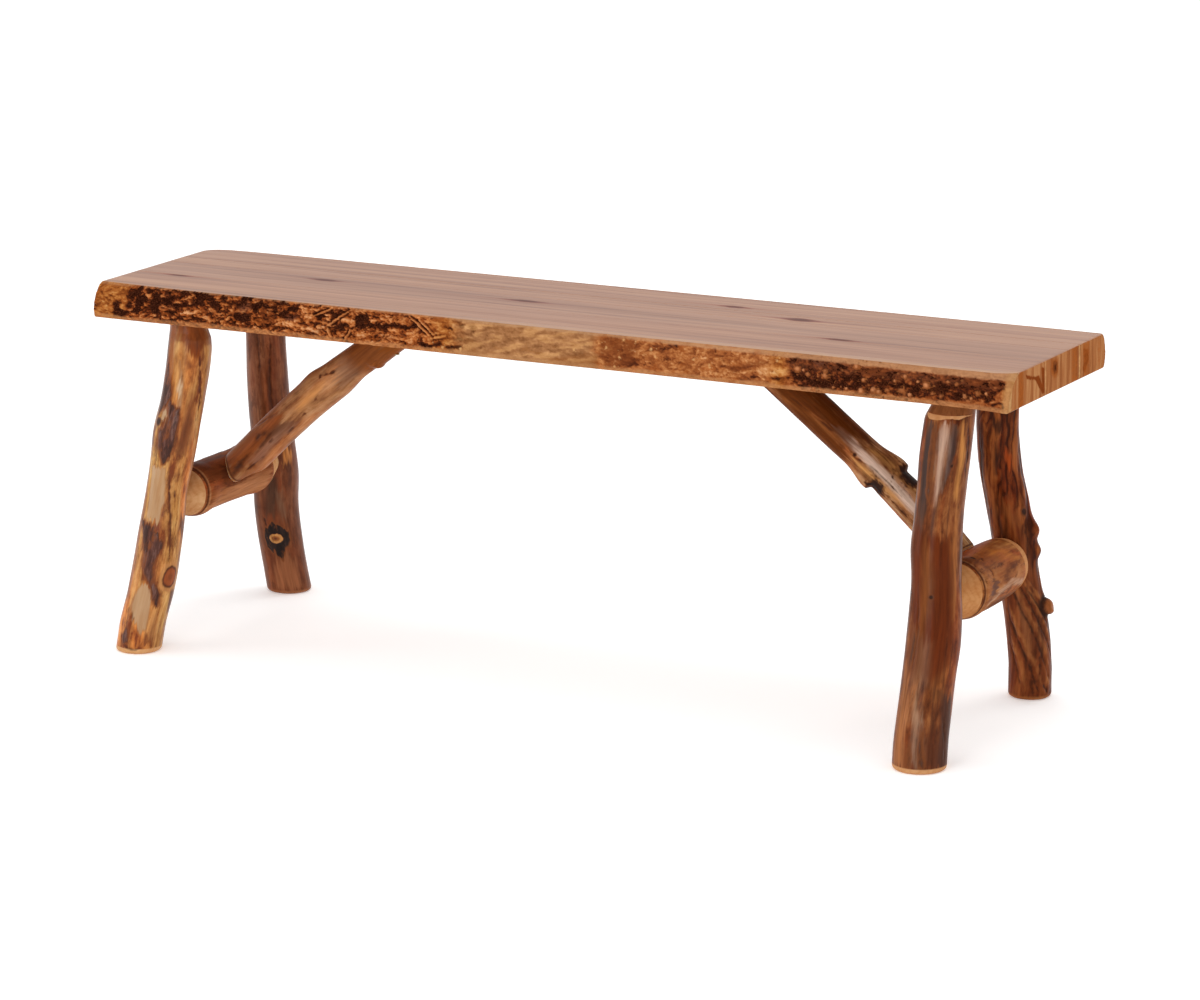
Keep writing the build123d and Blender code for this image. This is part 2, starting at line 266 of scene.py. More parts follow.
# ---------------------------------------------------------------------------
# Materials
# ---------------------------------------------------------------------------
class Nodes:
    """Short names for building a node tree."""

    def __init__(self, name):
        self.mat = bpy.data.materials.new(name)
        self.mat.use_nodes = True
        self.t = self.mat.node_tree
        self.t.nodes.clear()
        self.out = self.t.nodes.new("ShaderNodeOutputMaterial")
        self.bsdf = self.t.nodes.new("ShaderNodeBsdfPrincipled")
        self.t.links.new(self.bsdf.outputs[0], self.out.inputs[0])

    def put(self, sock, v):
        if isinstance(v, bpy.types.NodeSocket):
            self.t.links.new(v, sock)
        elif v is not None:
            if hasattr(sock.default_value, "__len__"):
                n = len(sock.default_value)
                v = tuple(v) if hasattr(v, "__len__") else (v,) * n
                sock.default_value = (v + (1.0,))[:n] if len(v) < n else v[:n]
            else:
                sock.default_value = v

    def attr(self, name, out="Fac"):
        n = self.t.nodes.new("ShaderNodeAttribute")
        n.attribute_name = name
        return n.outputs[out]

    def noise(self, vec, scale=1.0, detail=3.0, rough=0.5, dist=0.0, colour=False):
        n = self.t.nodes.new("ShaderNodeTexNoise")
        self.put(n.inputs["Vector"], vec)
        n.inputs["Scale"].default_value = scale
        n.inputs["Detail"].default_value = detail
        n.inputs["Roughness"].default_value = rough
        n.inputs["Distortion"].default_value = dist
        return n.outputs[1 if colour else 0]

    def voro(self, vec, scale=1.0, feature="F1", out="Distance", rand=1.0):
        n = self.t.nodes.new("ShaderNodeTexVoronoi")
        n.feature = feature
        self.put(n.inputs["Vector"], vec)
        n.inputs["Scale"].default_value = scale
        n.inputs["Randomness"].default_value = rand
        return n.outputs[out]

    def m(self, op, a, b=None, c=None, clamp=False):
        n = self.t.nodes.new("ShaderNodeMath")
        n.operation = op
        n.use_clamp = clamp
        self.put(n.inputs[0], a)
        if b is not None:
            self.put(n.inputs[1], b)
        if c is not None:
            self.put(n.inputs[2], c)
        return n.outputs[0]

    def v(self, op, a, b=None, out=0):
        n = self.t.nodes.new("ShaderNodeVectorMath")
        n.operation = op
        self.put(n.inputs[0], a)
        if b is not None:
            self.put(n.inputs[1], b)
        return n.outputs[out]

    def scale(self, vec, s):
        return self.v("MULTIPLY", vec, s)

    def range(self, x, a, b, c=0.0, d=1.0, smooth=True):
        n = self.t.nodes.new("ShaderNodeMapRange")
        n.interpolation_type = "SMOOTHSTEP" if smooth else "LINEAR"
        self.put(n.inputs["Value"], x)
        self.put(n.inputs["From Min"], a)
        self.put(n.inputs["From Max"], b)
        self.put(n.inputs["To Min"], c)
        self.put(n.inputs["To Max"], d)
        return n.outputs[0]

    def mix(self, f, a, b, mode="MIX"):
        n = self.t.nodes.new("ShaderNodeMix")
        n.data_type = "RGBA"
        n.blend_type = mode
        n.clamp_result = False
        self.put(n.inputs[0], f)
        self.put(n.inputs[6], a)
        self.put(n.inputs[7], b)
        return n.outputs[2]

    def ramp(self, f, stops, interp="LINEAR"):
        n = self.t.nodes.new("ShaderNodeValToRGB")
        r = n.color_ramp
        r.interpolation = interp
        while len(r.elements) < len(stops):
            r.elements.new(0.5)
        for e, (p, c) in zip(r.elements, stops):
            e.position = p
            e.color = tuple(c) + (1.0,) if len(c) == 3 else c
        self.put(n.inputs[0], f)
        return n.outputs[0]

    def sep(self, vec):
        n = self.t.nodes.new("ShaderNodeSeparateXYZ")
        self.put(n.inputs[0], vec)
        return n.outputs

    def comb(self, x, y, z):
        n = self.t.nodes.new("ShaderNodeCombineXYZ")
        for i, v in enumerate((x, y, z)):
            self.put(n.inputs[i], v)
        return n.outputs[0]

    def bump(self, height, strength, distance, normal=None):
        n = self.t.nodes.new("ShaderNodeBump")
        n.inputs["Strength"].default_value = strength
        n.inputs["Distance"].default_value = distance
        self.put(n.inputs["Height"], height)
        if normal is not None:
            self.put(n.inputs["Normal"], normal)
        return n.outputs[0]


BARK_DARK = (0.018, 0.007, 0.005)
BARK_MID = (0.080, 0.031, 0.022)
BARK_MAUVE = (0.200, 0.108, 0.088)


def log_material(name, deep, mid, light, streak, pale=(0.455, 0.285, 0.150), cut=(0.60, 0.32, 0.135),
                 streak_amount=0.6, contrast=1.0, rough=0.32, blotch=0.8, coat=0.06, gloss_bump=0.20, warm=0.9, spec=0.12,
                 bark=(BARK_DARK, BARK_MID, BARK_MAUVE), halo=(0.160, 0.046, 0.013), shift=(0, 0, 0),
                 coarse=(75, 75, 5.0), grain=1.0, fleck=0.62, fleck_col=(0.080, 0.023, 0.008), ragged=1.0):
    N = Nodes(name)
    gc = N.v("ADD", N.attr("gc", "Vector"), shift)
    warp = N.noise(N.scale(gc, (22, 22, 9)), 1.0, 2, 0.5, colour=True)
    gw = N.v("ADD", gc, N.scale(N.v("SUBTRACT", warp, (0.5, 0.5, 0.5)), (0.012, 0.012, 0.0)))
    s1 = N.noise(N.scale(gw, coarse), 1.0, 4, 0.58)
    s2 = N.noise(N.scale(gw, (230, 230, 13)), 1.0, 4, 0.6)
    s3 = N.noise(N.scale(gc, (900, 900, 34)), 1.0, 3, 0.6)
    lo = N.noise(N.scale(gc, (24, 24, 11)), 1.0, 3, 0.55)
    hu = N.noise(N.scale(N.v("ADD", gw, (1.1, 2.3, 0.7)), (42, 42, 6.0)), 1.0, 3, 0.5)
    md = N.noise(N.scale(N.v("ADD", gw, (2.2, 4.1, 1.3)), (92, 92, 40)), 1.0, 5, 0.62)
    tone = N.m("MULTIPLY_ADD", N.m("SUBTRACT", s1, 0.5), 1.15 * contrast * grain, 0.5)
    tone = N.m("MULTIPLY_ADD", N.m("SUBTRACT", md, 0.5), 1.50 * contrast, tone)
    tone = N.m("MULTIPLY_ADD", N.m("SUBTRACT", lo, 0.5), 1.5 * blotch, tone)
    tone = N.m("MULTIPLY_ADD", N.m("SUBTRACT", s2, 0.5), 0.80 * contrast * grain, tone)
    tone = N.m("ADD", tone, N.attr("tone"), clamp=True)
    col = N.ramp(tone, [(0.12, deep), (0.48, mid), (0.86, light)])
    # the varnish has darkened the wood unevenly: redder in places, yellower in others
    col = N.mix(warm, col, N.mix(1.0, col, N.ramp(hu, [(0.34, (1.22, 0.82, 0.52)), (0.50, (1, 1, 1)), (0.66, (1.06, 1.12, 0.96))]), "MULTIPLY"))
    # dark mineral streaks along the grain
    ds = N.noise(N.scale(N.v("ADD", gw, (3.1, 1.7, 0.4)), (130, 130, 8)), 1.0, 5, 0.64)
    dm = N.m("MULTIPLY", N.range(ds, 0.54, 0.72), streak_amount)
    col = N.mix(dm, col, streak)
    # short flecks of dark bark left in the grain
    fl = N.noise(N.scale(N.v("ADD", gw, (5.7, 0.9, 2.2)), (190, 190, 52)), 1.0, 5, 0.66)
    fb = N.noise(N.scale(gc, (30, 30, 14)), 1.0, 2, 0.5)
    fl = N.m("MULTIPLY_ADD", N.m("SUBTRACT", fb, 0.5), 0.45, fl)
    col = N.mix(N.m("MULTIPLY", N.range(fl, 0.55, 0.67), fleck), col, fleck_col)
    # fine fibre
    col = N.mix(N.range(s3, 0.35, 0.75, 0.0, 0.30), col, N.mix(1.0, col, (0.60, 0.52, 0.46), "MULTIPLY"))
    # pale patches where the knife went deeper; the bluish-white brightening in parts of them is a painted highlight
    pv = N.m("MULTIPLY_ADD", N.m("SUBTRACT", s2, 0.5), 0.75, N.attr("pale"))
    pv = N.m("MULTIPLY_ADD", N.m("SUBTRACT", s1, 0.5), 0.80, pv)
    pm = N.m("MULTIPLY", N.range(pv, 0.22, 0.84, 0.0, 0.95), N.range(N.attr("pale"), 0.0, 0.15))
    pcol = N.mix(N.range(s1, 0.35, 0.7), pale, N.mix(1.0, pale, (0.84, 0.70, 0.56), "MULTIPLY"))
    pcol = N.mix(N.range(s3, 0.35, 0.75, 0.0, 0.25), pcol, N.mix(1.0, pcol, (0.72, 0.62, 0.52), "MULTIPLY"))
    pcol = N.mix(N.range(N.attr("pale"), 0.40, 0.95), N.mix(1.0, pcol, (0.84, 0.62, 0.40), "MULTIPLY"), N.mix(1.0, pcol, (1.01, 1.00, 0.98), "MULTIPLY"))
    # painted highlight: bluish-white brightening over parts of the pale patches
    pcol = N.mix(N.range(lo, 0.46, 0.66, 0.0, 0.8), pcol, N.mix(1.0, pcol, (1.22, 1.30, 1.42), "MULTIPLY"))
    col = N.mix(pm, col, pcol)
    # listed tints, feathered along the grain
    pt = N.attr("paint", "Color")
    pa = N.attr("paint", "Alpha")
    pn = N.m("MULTIPLY_ADD", N.m("SUBTRACT", s2, 0.5), 0.75, pa)
    pn = N.m("MULTIPLY_ADD", N.m("SUBTRACT", s1, 0.5), 0.45, pn)
    pcolr = N.mix(1.0, pt, N.ramp(s2, [(0.3, (0.70, 0.66, 0.62)), (0.7, (1.26, 1.24, 1.22))]), "MULTIPLY")
    pcolr = N.mix(N.range(s3, 0.35, 0.75, 0.0, 0.25), pcolr, N.mix(1.0, pcolr, (0.66, 0.60, 0.55), "MULTIPLY"))
    col = N.mix(N.m("MULTIPLY", N.range(pn, 0.10, 0.80), N.range(pa, 0.0, 0.25)), col, pcolr)
    # inner bark: black-brown rim, mauve-brown middle
    bn = N.noise(N.scale(gc, (330, 330, 60)), 1.0, 4, 0.65)
    bn2 = N.noise(N.scale(gc, (110, 110, 22)), 1.0, 4, 0.6)
    bv = N.m("MULTIPLY_ADD", N.m("SUBTRACT", bn, 0.5), 0.55 * ragged, N.attr("bark"))
    bv = N.m("MULTIPLY_ADD", N.m("SUBTRACT", bn2, 0.5), 0.75 * ragged, bv)
    bm = N.range(bv, 0.36, 0.62)
    bt = N.m("ADD", N.m("MULTIPLY", bn2, 0.55), N.m("MULTIPLY", bn, 0.45))
    bcol = N.ramp(bt, [(0.34, bark[0]), (0.50, bark[1]), (0.66, bark[2])])
    bcol = N.mix(N.range(bv, 0.52, 0.78), N.mix(0.5, bark[0], halo), bcol)
    bcol = N.mix(N.range(md, 0.50, 0.64, 0.0, 0.75), bcol, halo)
    bcol = N.mix(N.range(fl, 0.50, 0.60, 0.0, 0.60), bcol, bark[0])
    col = N.mix(N.m("MULTIPLY", N.range(bv, 0.08, 0.42, 0.0, 0.90), N.range(N.attr("bark"), 0.0, 0.12)), col, halo)
    col = N.mix(bm, col, bcol)
    # fresh cuts: feet, shoulders, tenons
    g = N.sep(N.attr("gc", "Vector"))
    rad = N.m("SQRT", N.m("ADD", N.m("MULTIPLY", g[0], g[0]), N.m("MULTIPLY", g[1], g[1])))
    rw = N.m("MULTIPLY_ADD", N.m("SUBTRACT", lo, 0.5), 0.016, rad)
    ring = N.m("SINE", N.m("MULTIPLY", rw, TAU / 0.0036))
    ccol = N.mix(N.range(ring, -0.2, 1.0, 0.0, 0.28), cut, N.mix(1.0, cut, (0.78, 0.64, 0.50), "MULTIPLY"))
    ccol = N.mix(N.range(s2, 0.40, 0.70, 0.0, 0.6), ccol, N.mix(1.0, ccol, (0.82, 0.70, 0.58), "MULTIPLY"))
    ccol = N.mix(N.range(lo, 0.42, 0.68, 0.0, 0.7), ccol, N.mix(1.0, ccol, (0.78, 0.60, 0.44), "MULTIPLY"))
    cm = N.range(N.m("MULTIPLY_ADD", N.m("SUBTRACT", s2, 0.5), 0.15, N.attr("cut")), 0.35, 0.65)
    col = N.mix(cm, col, ccol)
    # cracks, and painted shade: darkening in the flute grooves and in a band where the neck meets the seat
    col = N.mix(N.m("MULTIPLY", N.attr("crack_and_shade"), 0.92), col, (0.026, 0.010, 0.006))
    N.put(N.bsdf.inputs["Base Color"], col)
    r = N.m("MULTIPLY_ADD", s2, 0.22, rough - 0.11)
    r = N.m("MULTIPLY_ADD", bm, 0.05, r)
    r = N.m("MULTIPLY_ADD", cm, 0.12, r)
    N.put(N.bsdf.inputs["Roughness"], r)
    h = N.m("ADD", N.m("MULTIPLY", s2, 0.6), N.m("MULTIPLY", s3, 0.25))
    h = N.m("ADD", h, N.m("MULTIPLY", N.m("MULTIPLY", bn, bm), 1.2))
    N.put(N.bsdf.inputs["Normal"], N.bump(h, gloss_bump, 0.0012))
    N.bsdf.inputs["Coat Weight"].default_value = coat
    N.bsdf.inputs["Coat Roughness"].default_value = 0.18
    N.bsdf.inputs["Coat IOR"].default_value = 1.5
    N.bsdf.inputs["Specular IOR Level"].default_value = spec
    return N.mat


def seat_material(name, shift, tint=(1, 1, 1), edge=False):
    """Planed and sanded staves: long fine grain on the faces, end grain on the ends, painted marks on the live edge."""
    N = Nodes(name)
    gc = N.attr("gc", "Vector")
    g0 = N.v("ADD", gc, shift)
    w = N.noise(N.scale(g0, (1.3, 9, 9)), 1.0, 3, 0.55, colour=True)
    gw = N.v("ADD", g0, N.scale(N.v("SUBTRACT", w, (0.5, 0.5, 0.5)), (0.0, 0.022, 0.022)))
    a = N.noise(N.scale(gw, (0.9, 46, 46)), 1.0, 4, 0.55)
    b = N.noise(N.scale(gw, (2.6, 210, 210)), 1.0, 4, 0.6)
    c = N.noise(N.scale(g0, (9, 1100, 1100)), 1.0, 2, 0.5)
    big = N.noise(N.scale(g0, (1.7, 7, 7)), 1.0, 2, 0.5)
    tone = N.m("MULTIPLY_ADD", N.m("SUBTRACT", a, 0.5), 0.82, 0.5)
    tone = N.m("MULTIPLY_ADD", N.m("SUBTRACT", b, 0.5), 0.70, tone)
    tone = N.m("MULTIPLY_ADD", N.m("SUBTRACT", big, 0.5), 0.5, tone)
    tone = N.m("ADD", tone, N.attr("tone"), clamp=True)

    def T(col):
        return tuple(x * y for x, y in zip(col, tint))
    col = N.ramp(tone, [(0.00, T((0.190, 0.092, 0.072))), (0.28, T((0.318, 0.172, 0.118))), (0.50, T((0.392, 0.217, 0.148))), (0.80, T((0.485, 0.282, 0.185)))])
    # thin dark growth lines
    ln = N.noise(N.scale(N.v("ADD", gw, (0.0, 0.31, 0.77)), (0.7, 88, 88)), 1.0, 3, 0.6)
    lm = N.m("MULTIPLY", N.m("SUBTRACT", 1.0, N.range(N.m("ABSOLUTE", N.m("SUBTRACT", ln, 0.60)), 0.0, 0.026)), 0.55)
    col = N.mix(lm, col, T((0.225, 0.092, 0.064)))
    col = N.mix(N.range(c, 0.40, 0.75, 0.0, 0.22), col, N.mix(1.0, col, (0.70, 0.62, 0.58), "MULTIPLY"))
    # end grain: soft bands across the thickness, with small pores
    e = N.attr("end")
    gs = N.sep(gc)
    en = N.noise(N.scale(g0, (0, 40, 18)), 1.0, 3, 0.5)
    ey = N.m("ADD", N.m("MULTIPLY_ADD", N.m("SUBTRACT", en, 0.5), 0.016, gs[1]), N.attr("ekey"))
    er = N.noise(N.comb(0.0, N.m("MULTIPLY", ey, 420.0), N.m("MULTIPLY", gs[2], 12.0)), 1.0, 3, 0.6)
    er2 = N.noise(N.comb(0.3, N.m("MULTIPLY", ey, 95.0), N.m("MULTIPLY", gs[2], 7.0)), 1.0, 3, 0.6)
    ecol = N.ramp(er2, [(0.34, T((0.252, 0.082, 0.028))), (0.50, T((0.362, 0.134, 0.046))), (0.66, T((0.470, 0.220, 0.088)))])
    ecol = N.mix(N.range(er, 0.50, 0.78, 0.0, 0.08), ecol, T((0.300, 0.090, 0.020)))
    eb = N.noise(N.scale(g0, (0, 700, 700)), 1.0, 3, 0.6)
    ecol = N.mix(N.range(eb, 0.45, 0.75, 0.0, 0.22), ecol, T((0.270, 0.080, 0.018)))
    col = N.mix(e, col, ecol)
    # knots on the faces, stains on the ends
    pt = N.attr("paint", "Color")
    pa = N.attr("paint", "Alpha")
    L = N.attr("live")
    pn = N.m("MULTIPLY_ADD", N.m("SUBTRACT", b, 0.5), 0.5, pa)
    pm = N.m("MULTIPLY", N.range(pn, 0.05, 0.85), N.range(pa, 0.0, 0.2))
    col = N.mix(N.m("MULTIPLY", pm, N.m("SUBTRACT", 1.0, L)), col, N.mix(1.0, pt, N.ramp(b, [(0.3, (0.80, 0.78, 0.76)), (0.7, (1.2, 1.2, 1.2))]), "MULTIPLY"))
    # live edge
    l1 = N.noise(N.scale(gc, (120, 160, 230)), 1.0, 5, 0.62)
    l2 = N.noise(N.scale(gc, (480, 560, 680)), 1.0, 4, 0.62)
    l3 = N.noise(N.scale(gc, (40, 60, 90)), 1.0, 4, 0.6)
    lt = N.m("ADD", N.m("MULTIPLY", l1, 0.42), N.m("MULTIPLY", l3, 0.30))
    lt = N.m("ADD", lt, N.m("MULTIPLY", l2, 0.28))
    lt = N.m("MULTIPLY_ADD", N.m("SUBTRACT", lt, 0.5), 1.5, 0.5)
    lt = N.m("ADD", lt, N.attr("ltone"), clamp=True)
    lcol = N.mix(1.0, pt, N.ramp(lt, [(0.20, (0.62, 0.52, 0.44)), (0.38, (0.88, 0.84, 0.80)), (0.52, (1, 1, 1)), (0.78, (1.18, 1.22, 1.28))]), "MULTIPLY")
    dk = N.m("MULTIPLY_ADD", N.m("SUBTRACT", l2, 0.5), 0.55, N.attr("dark"))
    dk = N.m("MULTIPLY_ADD", N.m("SUBTRACT", l1, 0.5), 0.50, dk)
    dmask = N.range(N.attr("dark"), 0.0, 0.12)
    lcol = N.mix(N.m("MULTIPLY", N.range(dk, 0.22, 0.50, 0.0, 0.90), dmask), lcol, (0.125, 0.028, 0.008))
    bcol = N.ramp(l2, [(0.32, (0.010, 0.002, 0.001)), (0.55, (0.036, 0.009, 0.004)), (0.72, (0.115, 0.034, 0.014))])
    lcol = N.mix(N.m("MULTIPLY", N.range(dk, 0.44, 0.58), dmask), lcol, bcol)
    col = N.mix(L, col, lcol)
    col = N.mix(N.m("MULTIPLY", N.attr("crack_and_shade"), 0.8), col, (0.06, 0.022, 0.010))
    N.put(N.bsdf.inputs["Base Color"], col)
    r = N.m("MULTIPLY_ADD", b, 0.16, 0.27)
    r = N.m("MULTIPLY_ADD", L, 0.02, r)
    r = N.m("MULTIPLY_ADD", e, 0.10, r)
    N.put(N.bsdf.inputs["Roughness"], r)
    h = N.m("ADD", N.m("MULTIPLY", b, 0.20), N.m("MULTIPLY", c, 0.10))
    h = N.m("ADD", h, N.m("MULTIPLY", N.m("MULTIPLY", l2, L), 1.5))
    h = N.m("ADD", h, N.m("MULTIPLY", N.m("MULTIPLY", eb, e), 0.4))
    N.put(N.bsdf.inputs["Normal"], N.bump(h, 0.22, 0.0012))
    N.bsdf.inputs["Coat Weight"].default_value = 0.0
    N.bsdf.inputs["Coat Roughness"].default_value = 0.22
    N.bsdf.inputs["Coat IOR"].default_value = 1.5
    N.bsdf.inputs["Specular IOR Level"].default_value = 0.0 if edge else 0.06
    return N.mat


# ---------------------------------------------------------------------------
# Logs
# ---------------------------------------------------------------------------
class Surface:
    """A log's skin: grids of place along (t), angle (a, degrees) and radius, on which marks are put."""

    def __init__(self, t, ang, r, seed):
        self.t = np.repeat(t[:, None], len(ang), 1)
        self.a = np.repeat(ang[None, :], len(t), 0)
        self.r = np.repeat(r[:, None], len(ang), 1)
        self.seed = seed
        self.h = np.zeros(self.t.shape)
        self.bark = np.zeros(self.t.shape)
        self.pale = np.zeros(self.t.shape)
        self.tone = np.zeros(self.t.shape)
        self.cut = np.zeros(self.t.shape)
        self.crack_and_shade = np.zeros(self.t.shape)
        self.paint = np.zeros(self.t.shape + (4,))
        th = np.radians(self.a)
        self.cx, self.cy = self.r * np.cos(th), self.r * np.sin(th)
        self.wob = fbm(self.cx / 9, self.cy / 9, self.t / 16, seed + 40, 3)
        self.wob2 = fbm(self.cx / 3.2, self.cy / 3.2, self.t / 7, seed + 44, 3)
        self.fib = fbm(self.cx / 3.0, self.cy / 3.0, self.t / 80, seed + 48, 3) + 0.5 * fbm(self.cx / 1.4, self.cy / 1.4, self.t / 40, seed + 52, 2)

    def flat(self, a0):
        """Arc and length in mm about angle a0."""
        d = (self.a - a0 + 180) % 360 - 180
        return self.r * np.radians(d), self.t

    def poly(self, pts, wob=2.2, spike=9.0):
        """Signed distance to an outline whose edges run out in spikes along the grain."""
        pts = np.array(pts, float)
        a0 = math.degrees(math.atan2(np.sin(np.radians(pts[:, 1])).mean(), np.cos(np.radians(pts[:, 1])).mean()))
        x, y = self.flat(a0)
        i = np.abs(self.t[:, 0] - pts[:, 0].mean()).argmin()
        rr = self.r[i, 0]
        d = (pts[:, 1] - a0 + 180) % 360 - 180
        P = np.stack([rr * np.radians(d), pts[:, 0]], 1)
        return poly_sdf(x + 0.6 * wob * self.wob, y + spike * self.fib, P) + wob * 0.9 * self.wob + wob * 0.5 * self.wob2

    def add_bark(self, pts, lift=0.7, ramp=9.0, wob=2.2, amount=1.0):
        s = self.poly(pts, wob)
        self.bark = np.maximum(self.bark, np.clip(0.5 - s / ramp, 0, 1) * amount)
        self.h += lift * sstep(1.2, -1.6, s)

    def add_pale(self, pts, amount=1.0, dip=0.35, soft=7.0):
        s = self.poly(pts, 1.6, 14)
        self.pale = np.maximum(self.pale, amount * sstep(soft * 0.6, -soft * 0.6, s))
        self.h -= dip * sstep(3.0, -4.0, s)

    def add_paint(self, pts, col, alpha=1.0, soft=5.0, wob=1.8):
        s = self.poly(pts, wob, 16)
        self._paint(sstep(soft, -soft, s) * alpha, col)

    def _paint(self, al, col):
        a = self.paint[..., 3]
        out = al + a * (1 - al)
        for k in range(3):
            self.paint[..., k] = np.where(out > 1e-6, (col[k] * al + self.paint[..., k] * a * (1 - al)) / np.maximum(out, 1e-6), col[k])
        self.paint[..., 3] = out

    def add_tone(self, pts, v, soft=8.0):
        self.tone += v * sstep(soft, -soft, self.poly(pts, 2.0))

    def line(self, pts, width=1.6, depth=1.0, dark=0.9, col=None, wob=1.0):
        """A split or streak that tapers out at both ends."""
        pts = np.array(pts, float)
        a0 = pts[:, 1].mean()
        x, y = self.flat(a0)
        i = np.abs(self.t[:, 0] - pts[:, 0].mean()).argmin()
        d = (pts[:, 1] - a0 + 180) % 360 - 180
        P = np.stack([self.r[i, 0] * np.radians(d), pts[:, 0]], 1)
        s, f = line_dist(x + wob * self.wob * 2.0 + wob * 0.5 * self.wob2, y, P, True)
        tp = sstep(-0.02, 0.25, f) * sstep(1.02, 0.75, f)
        n = np.clip(0.80 + 1.1 * fbm(self.cx / 9, self.cy / 9, self.t / 10, self.seed + 60, 2), 0.35, 1.3)
        w = width * (0.35 + 0.65 * tp) * n
        k = (0.35 + 0.65 * tp) * np.clip(n, 0, 1)
        m = k * np.exp(-(s / w) ** 2)
        self.h -= depth * m
        if col is None:
            self.crack_and_shade = np.maximum(self.crack_and_shade, dark * k * np.exp(-(s / (w * 0.75)) ** 2))
            self.tone -= 0.30 * dark * k * np.exp(-(s / (w * 2.6)) ** 2)
        else:
            self._paint(dark * k * np.exp(-(s / (w * 1.2)) ** 2), col)

    def bump(self, t0, a0, height, rt, ra=None, power=2.0):
        ra = ra or rt
        x, y = self.flat(a0)
        d = np.sqrt((x / ra) ** 2 + ((y - t0) / rt) ** 2)
        self.h += height * np.exp(-d ** power)
        return d

    def dist(self, t0, a0, rt, ra, tilt=0.0, wob=1.0):
        x, y = self.flat(a0)
        y = y - t0
        c, s = math.cos(math.radians(tilt)), math.sin(math.radians(tilt))
        x, y = c * x + s * y, -s * x + c * y
        return np.sqrt((x / ra) ** 2 + (y / rt) ** 2) * (1 + wob * (0.22 * self.wob + 0.10 * self.wob2))

    def knot(self, t0, a0, rt, ra, style="red", rise=1.6):
        d = self.dist(t0, a0, rt, ra)
        if style == "worn":      # a knot planed level, only a little darker than the log
            self.h += 0.5 * rise * np.exp(-(d / 1.6) ** 2) - 0.35 * np.exp(-(d / 0.8) ** 4)
            self.bark = self.bark * sstep(1.0, 1.6, d)
            self._paint(0.45 * sstep(1.9, 1.1, d), (0.270, 0.090, 0.028))
            self._paint(0.60 * sstep(1.05, 0.80, d + 0.25 * self.wob2), (0.070, 0.020, 0.008))
            self._paint(0.60 * sstep(0.62, 0.30, d), (0.190, 0.058, 0.018))
        elif style == "red":       # overgrown knot with a golden collar
            self.h += rise * np.exp(-(d / 1.5) ** 2) - 0.55 * np.exp(-(d / 0.75) ** 4)
            self.bark = self.bark * sstep(1.2, 1.9, d)
            self._paint(0.90 * sstep(1.65, 1.20, d), (0.46, 0.205, 0.065))
            self._paint(sstep(1.14, 0.96, d), (0.085, 0.022, 0.007))
            self._paint(sstep(0.94, 0.70, d), (0.300, 0.072, 0.017))
            self._paint(0.7 * sstep(0.50, 0.15, d), (0.190, 0.050, 0.014))
        elif style == "eye":     # cut branch end in a black collar
            self.h += rise * np.exp(-(d / 1.25) ** 4) - 0.6 * np.exp(-((d - 1.25) / 0.22) ** 2)
            self.bark = self.bark * sstep(0.94, 1.12, d)
            self._paint(sstep(1.10, 0.98, d), (0.60, 0.29, 0.09))
            self._paint(sstep(0.66, 0.50, d), (0.30, 0.100, 0.026))
            self._paint(sstep(0.34, 0.18, d), (0.10, 0.030, 0.010))
        elif style == "dark":    # small dead knot
            self.h += rise * np.exp(-(d / 1.3) ** 2) - 0.8 * np.exp(-(d / 0.8) ** 4)
            self._paint(sstep(1.6, 0.9, d) * 0.8, (0.120, 0.036, 0.013))
            self._paint(sstep(0.95, 0.6, d), (0.040, 0.015, 0.009))
        elif style == "orange":  # healed bump
            self.h += rise * np.exp(-(d / 0.95) ** 2.6)
            self._paint(sstep(1.2, 0.4, d) * 0.45, (0.260, 0.080, 0.022))
            if rise > 1:
                self._paint(0.55 * np.exp(-((d - 1.25) / 0.22) ** 2), (0.050, 0.016, 0.008))
        return d

    def roughen(self, lump=0.9, ripple=0.35, fine=0.10, twist=0.0):
        tw = np.radians(self.a + twist * self.t)
        X, Y = self.r * np.cos(tw), self.r * np.sin(tw)
        s = self.seed
        self.h += lump * fbm(X / 34, Y / 34, self.t / 90, s, 3)
        self.h += ripple * fbm(X / 9, Y / 9, self.t / 110, s + 5, 3)
        self.h += fine * fbm(X / 2.6, Y / 2.6, self.t / 40, s + 9, 2)

    def cavity_shade(self, amount=0.5, n=5):
        # painted shade in the hollows of the relief and a painted highlight on its ridges, carried through the tone
        c = np.clip((blur(self.h, n) - self.h) / 0.7, -1, 1)
        self.tone -= amount * np.clip(c, 0, 1)
        self.tone += amount * 0.35 * np.clip(-c, 0, 1)
        return c

    def fields(self, X, Y, Z):
        return {"gc": with_ends(np.stack([X, Y, Z], -1) * 0.001), "bark": with_ends(self.bark), "pale": with_ends(self.pale),
                "tone": with_ends(self.tone), "cut": with_ends(self.cut), "crack_and_shade": with_ends(self.crack_and_shade),
                "paint": with_ends(self.paint)}


FOOT = 5.0
TEN = 16.0
NU = 190


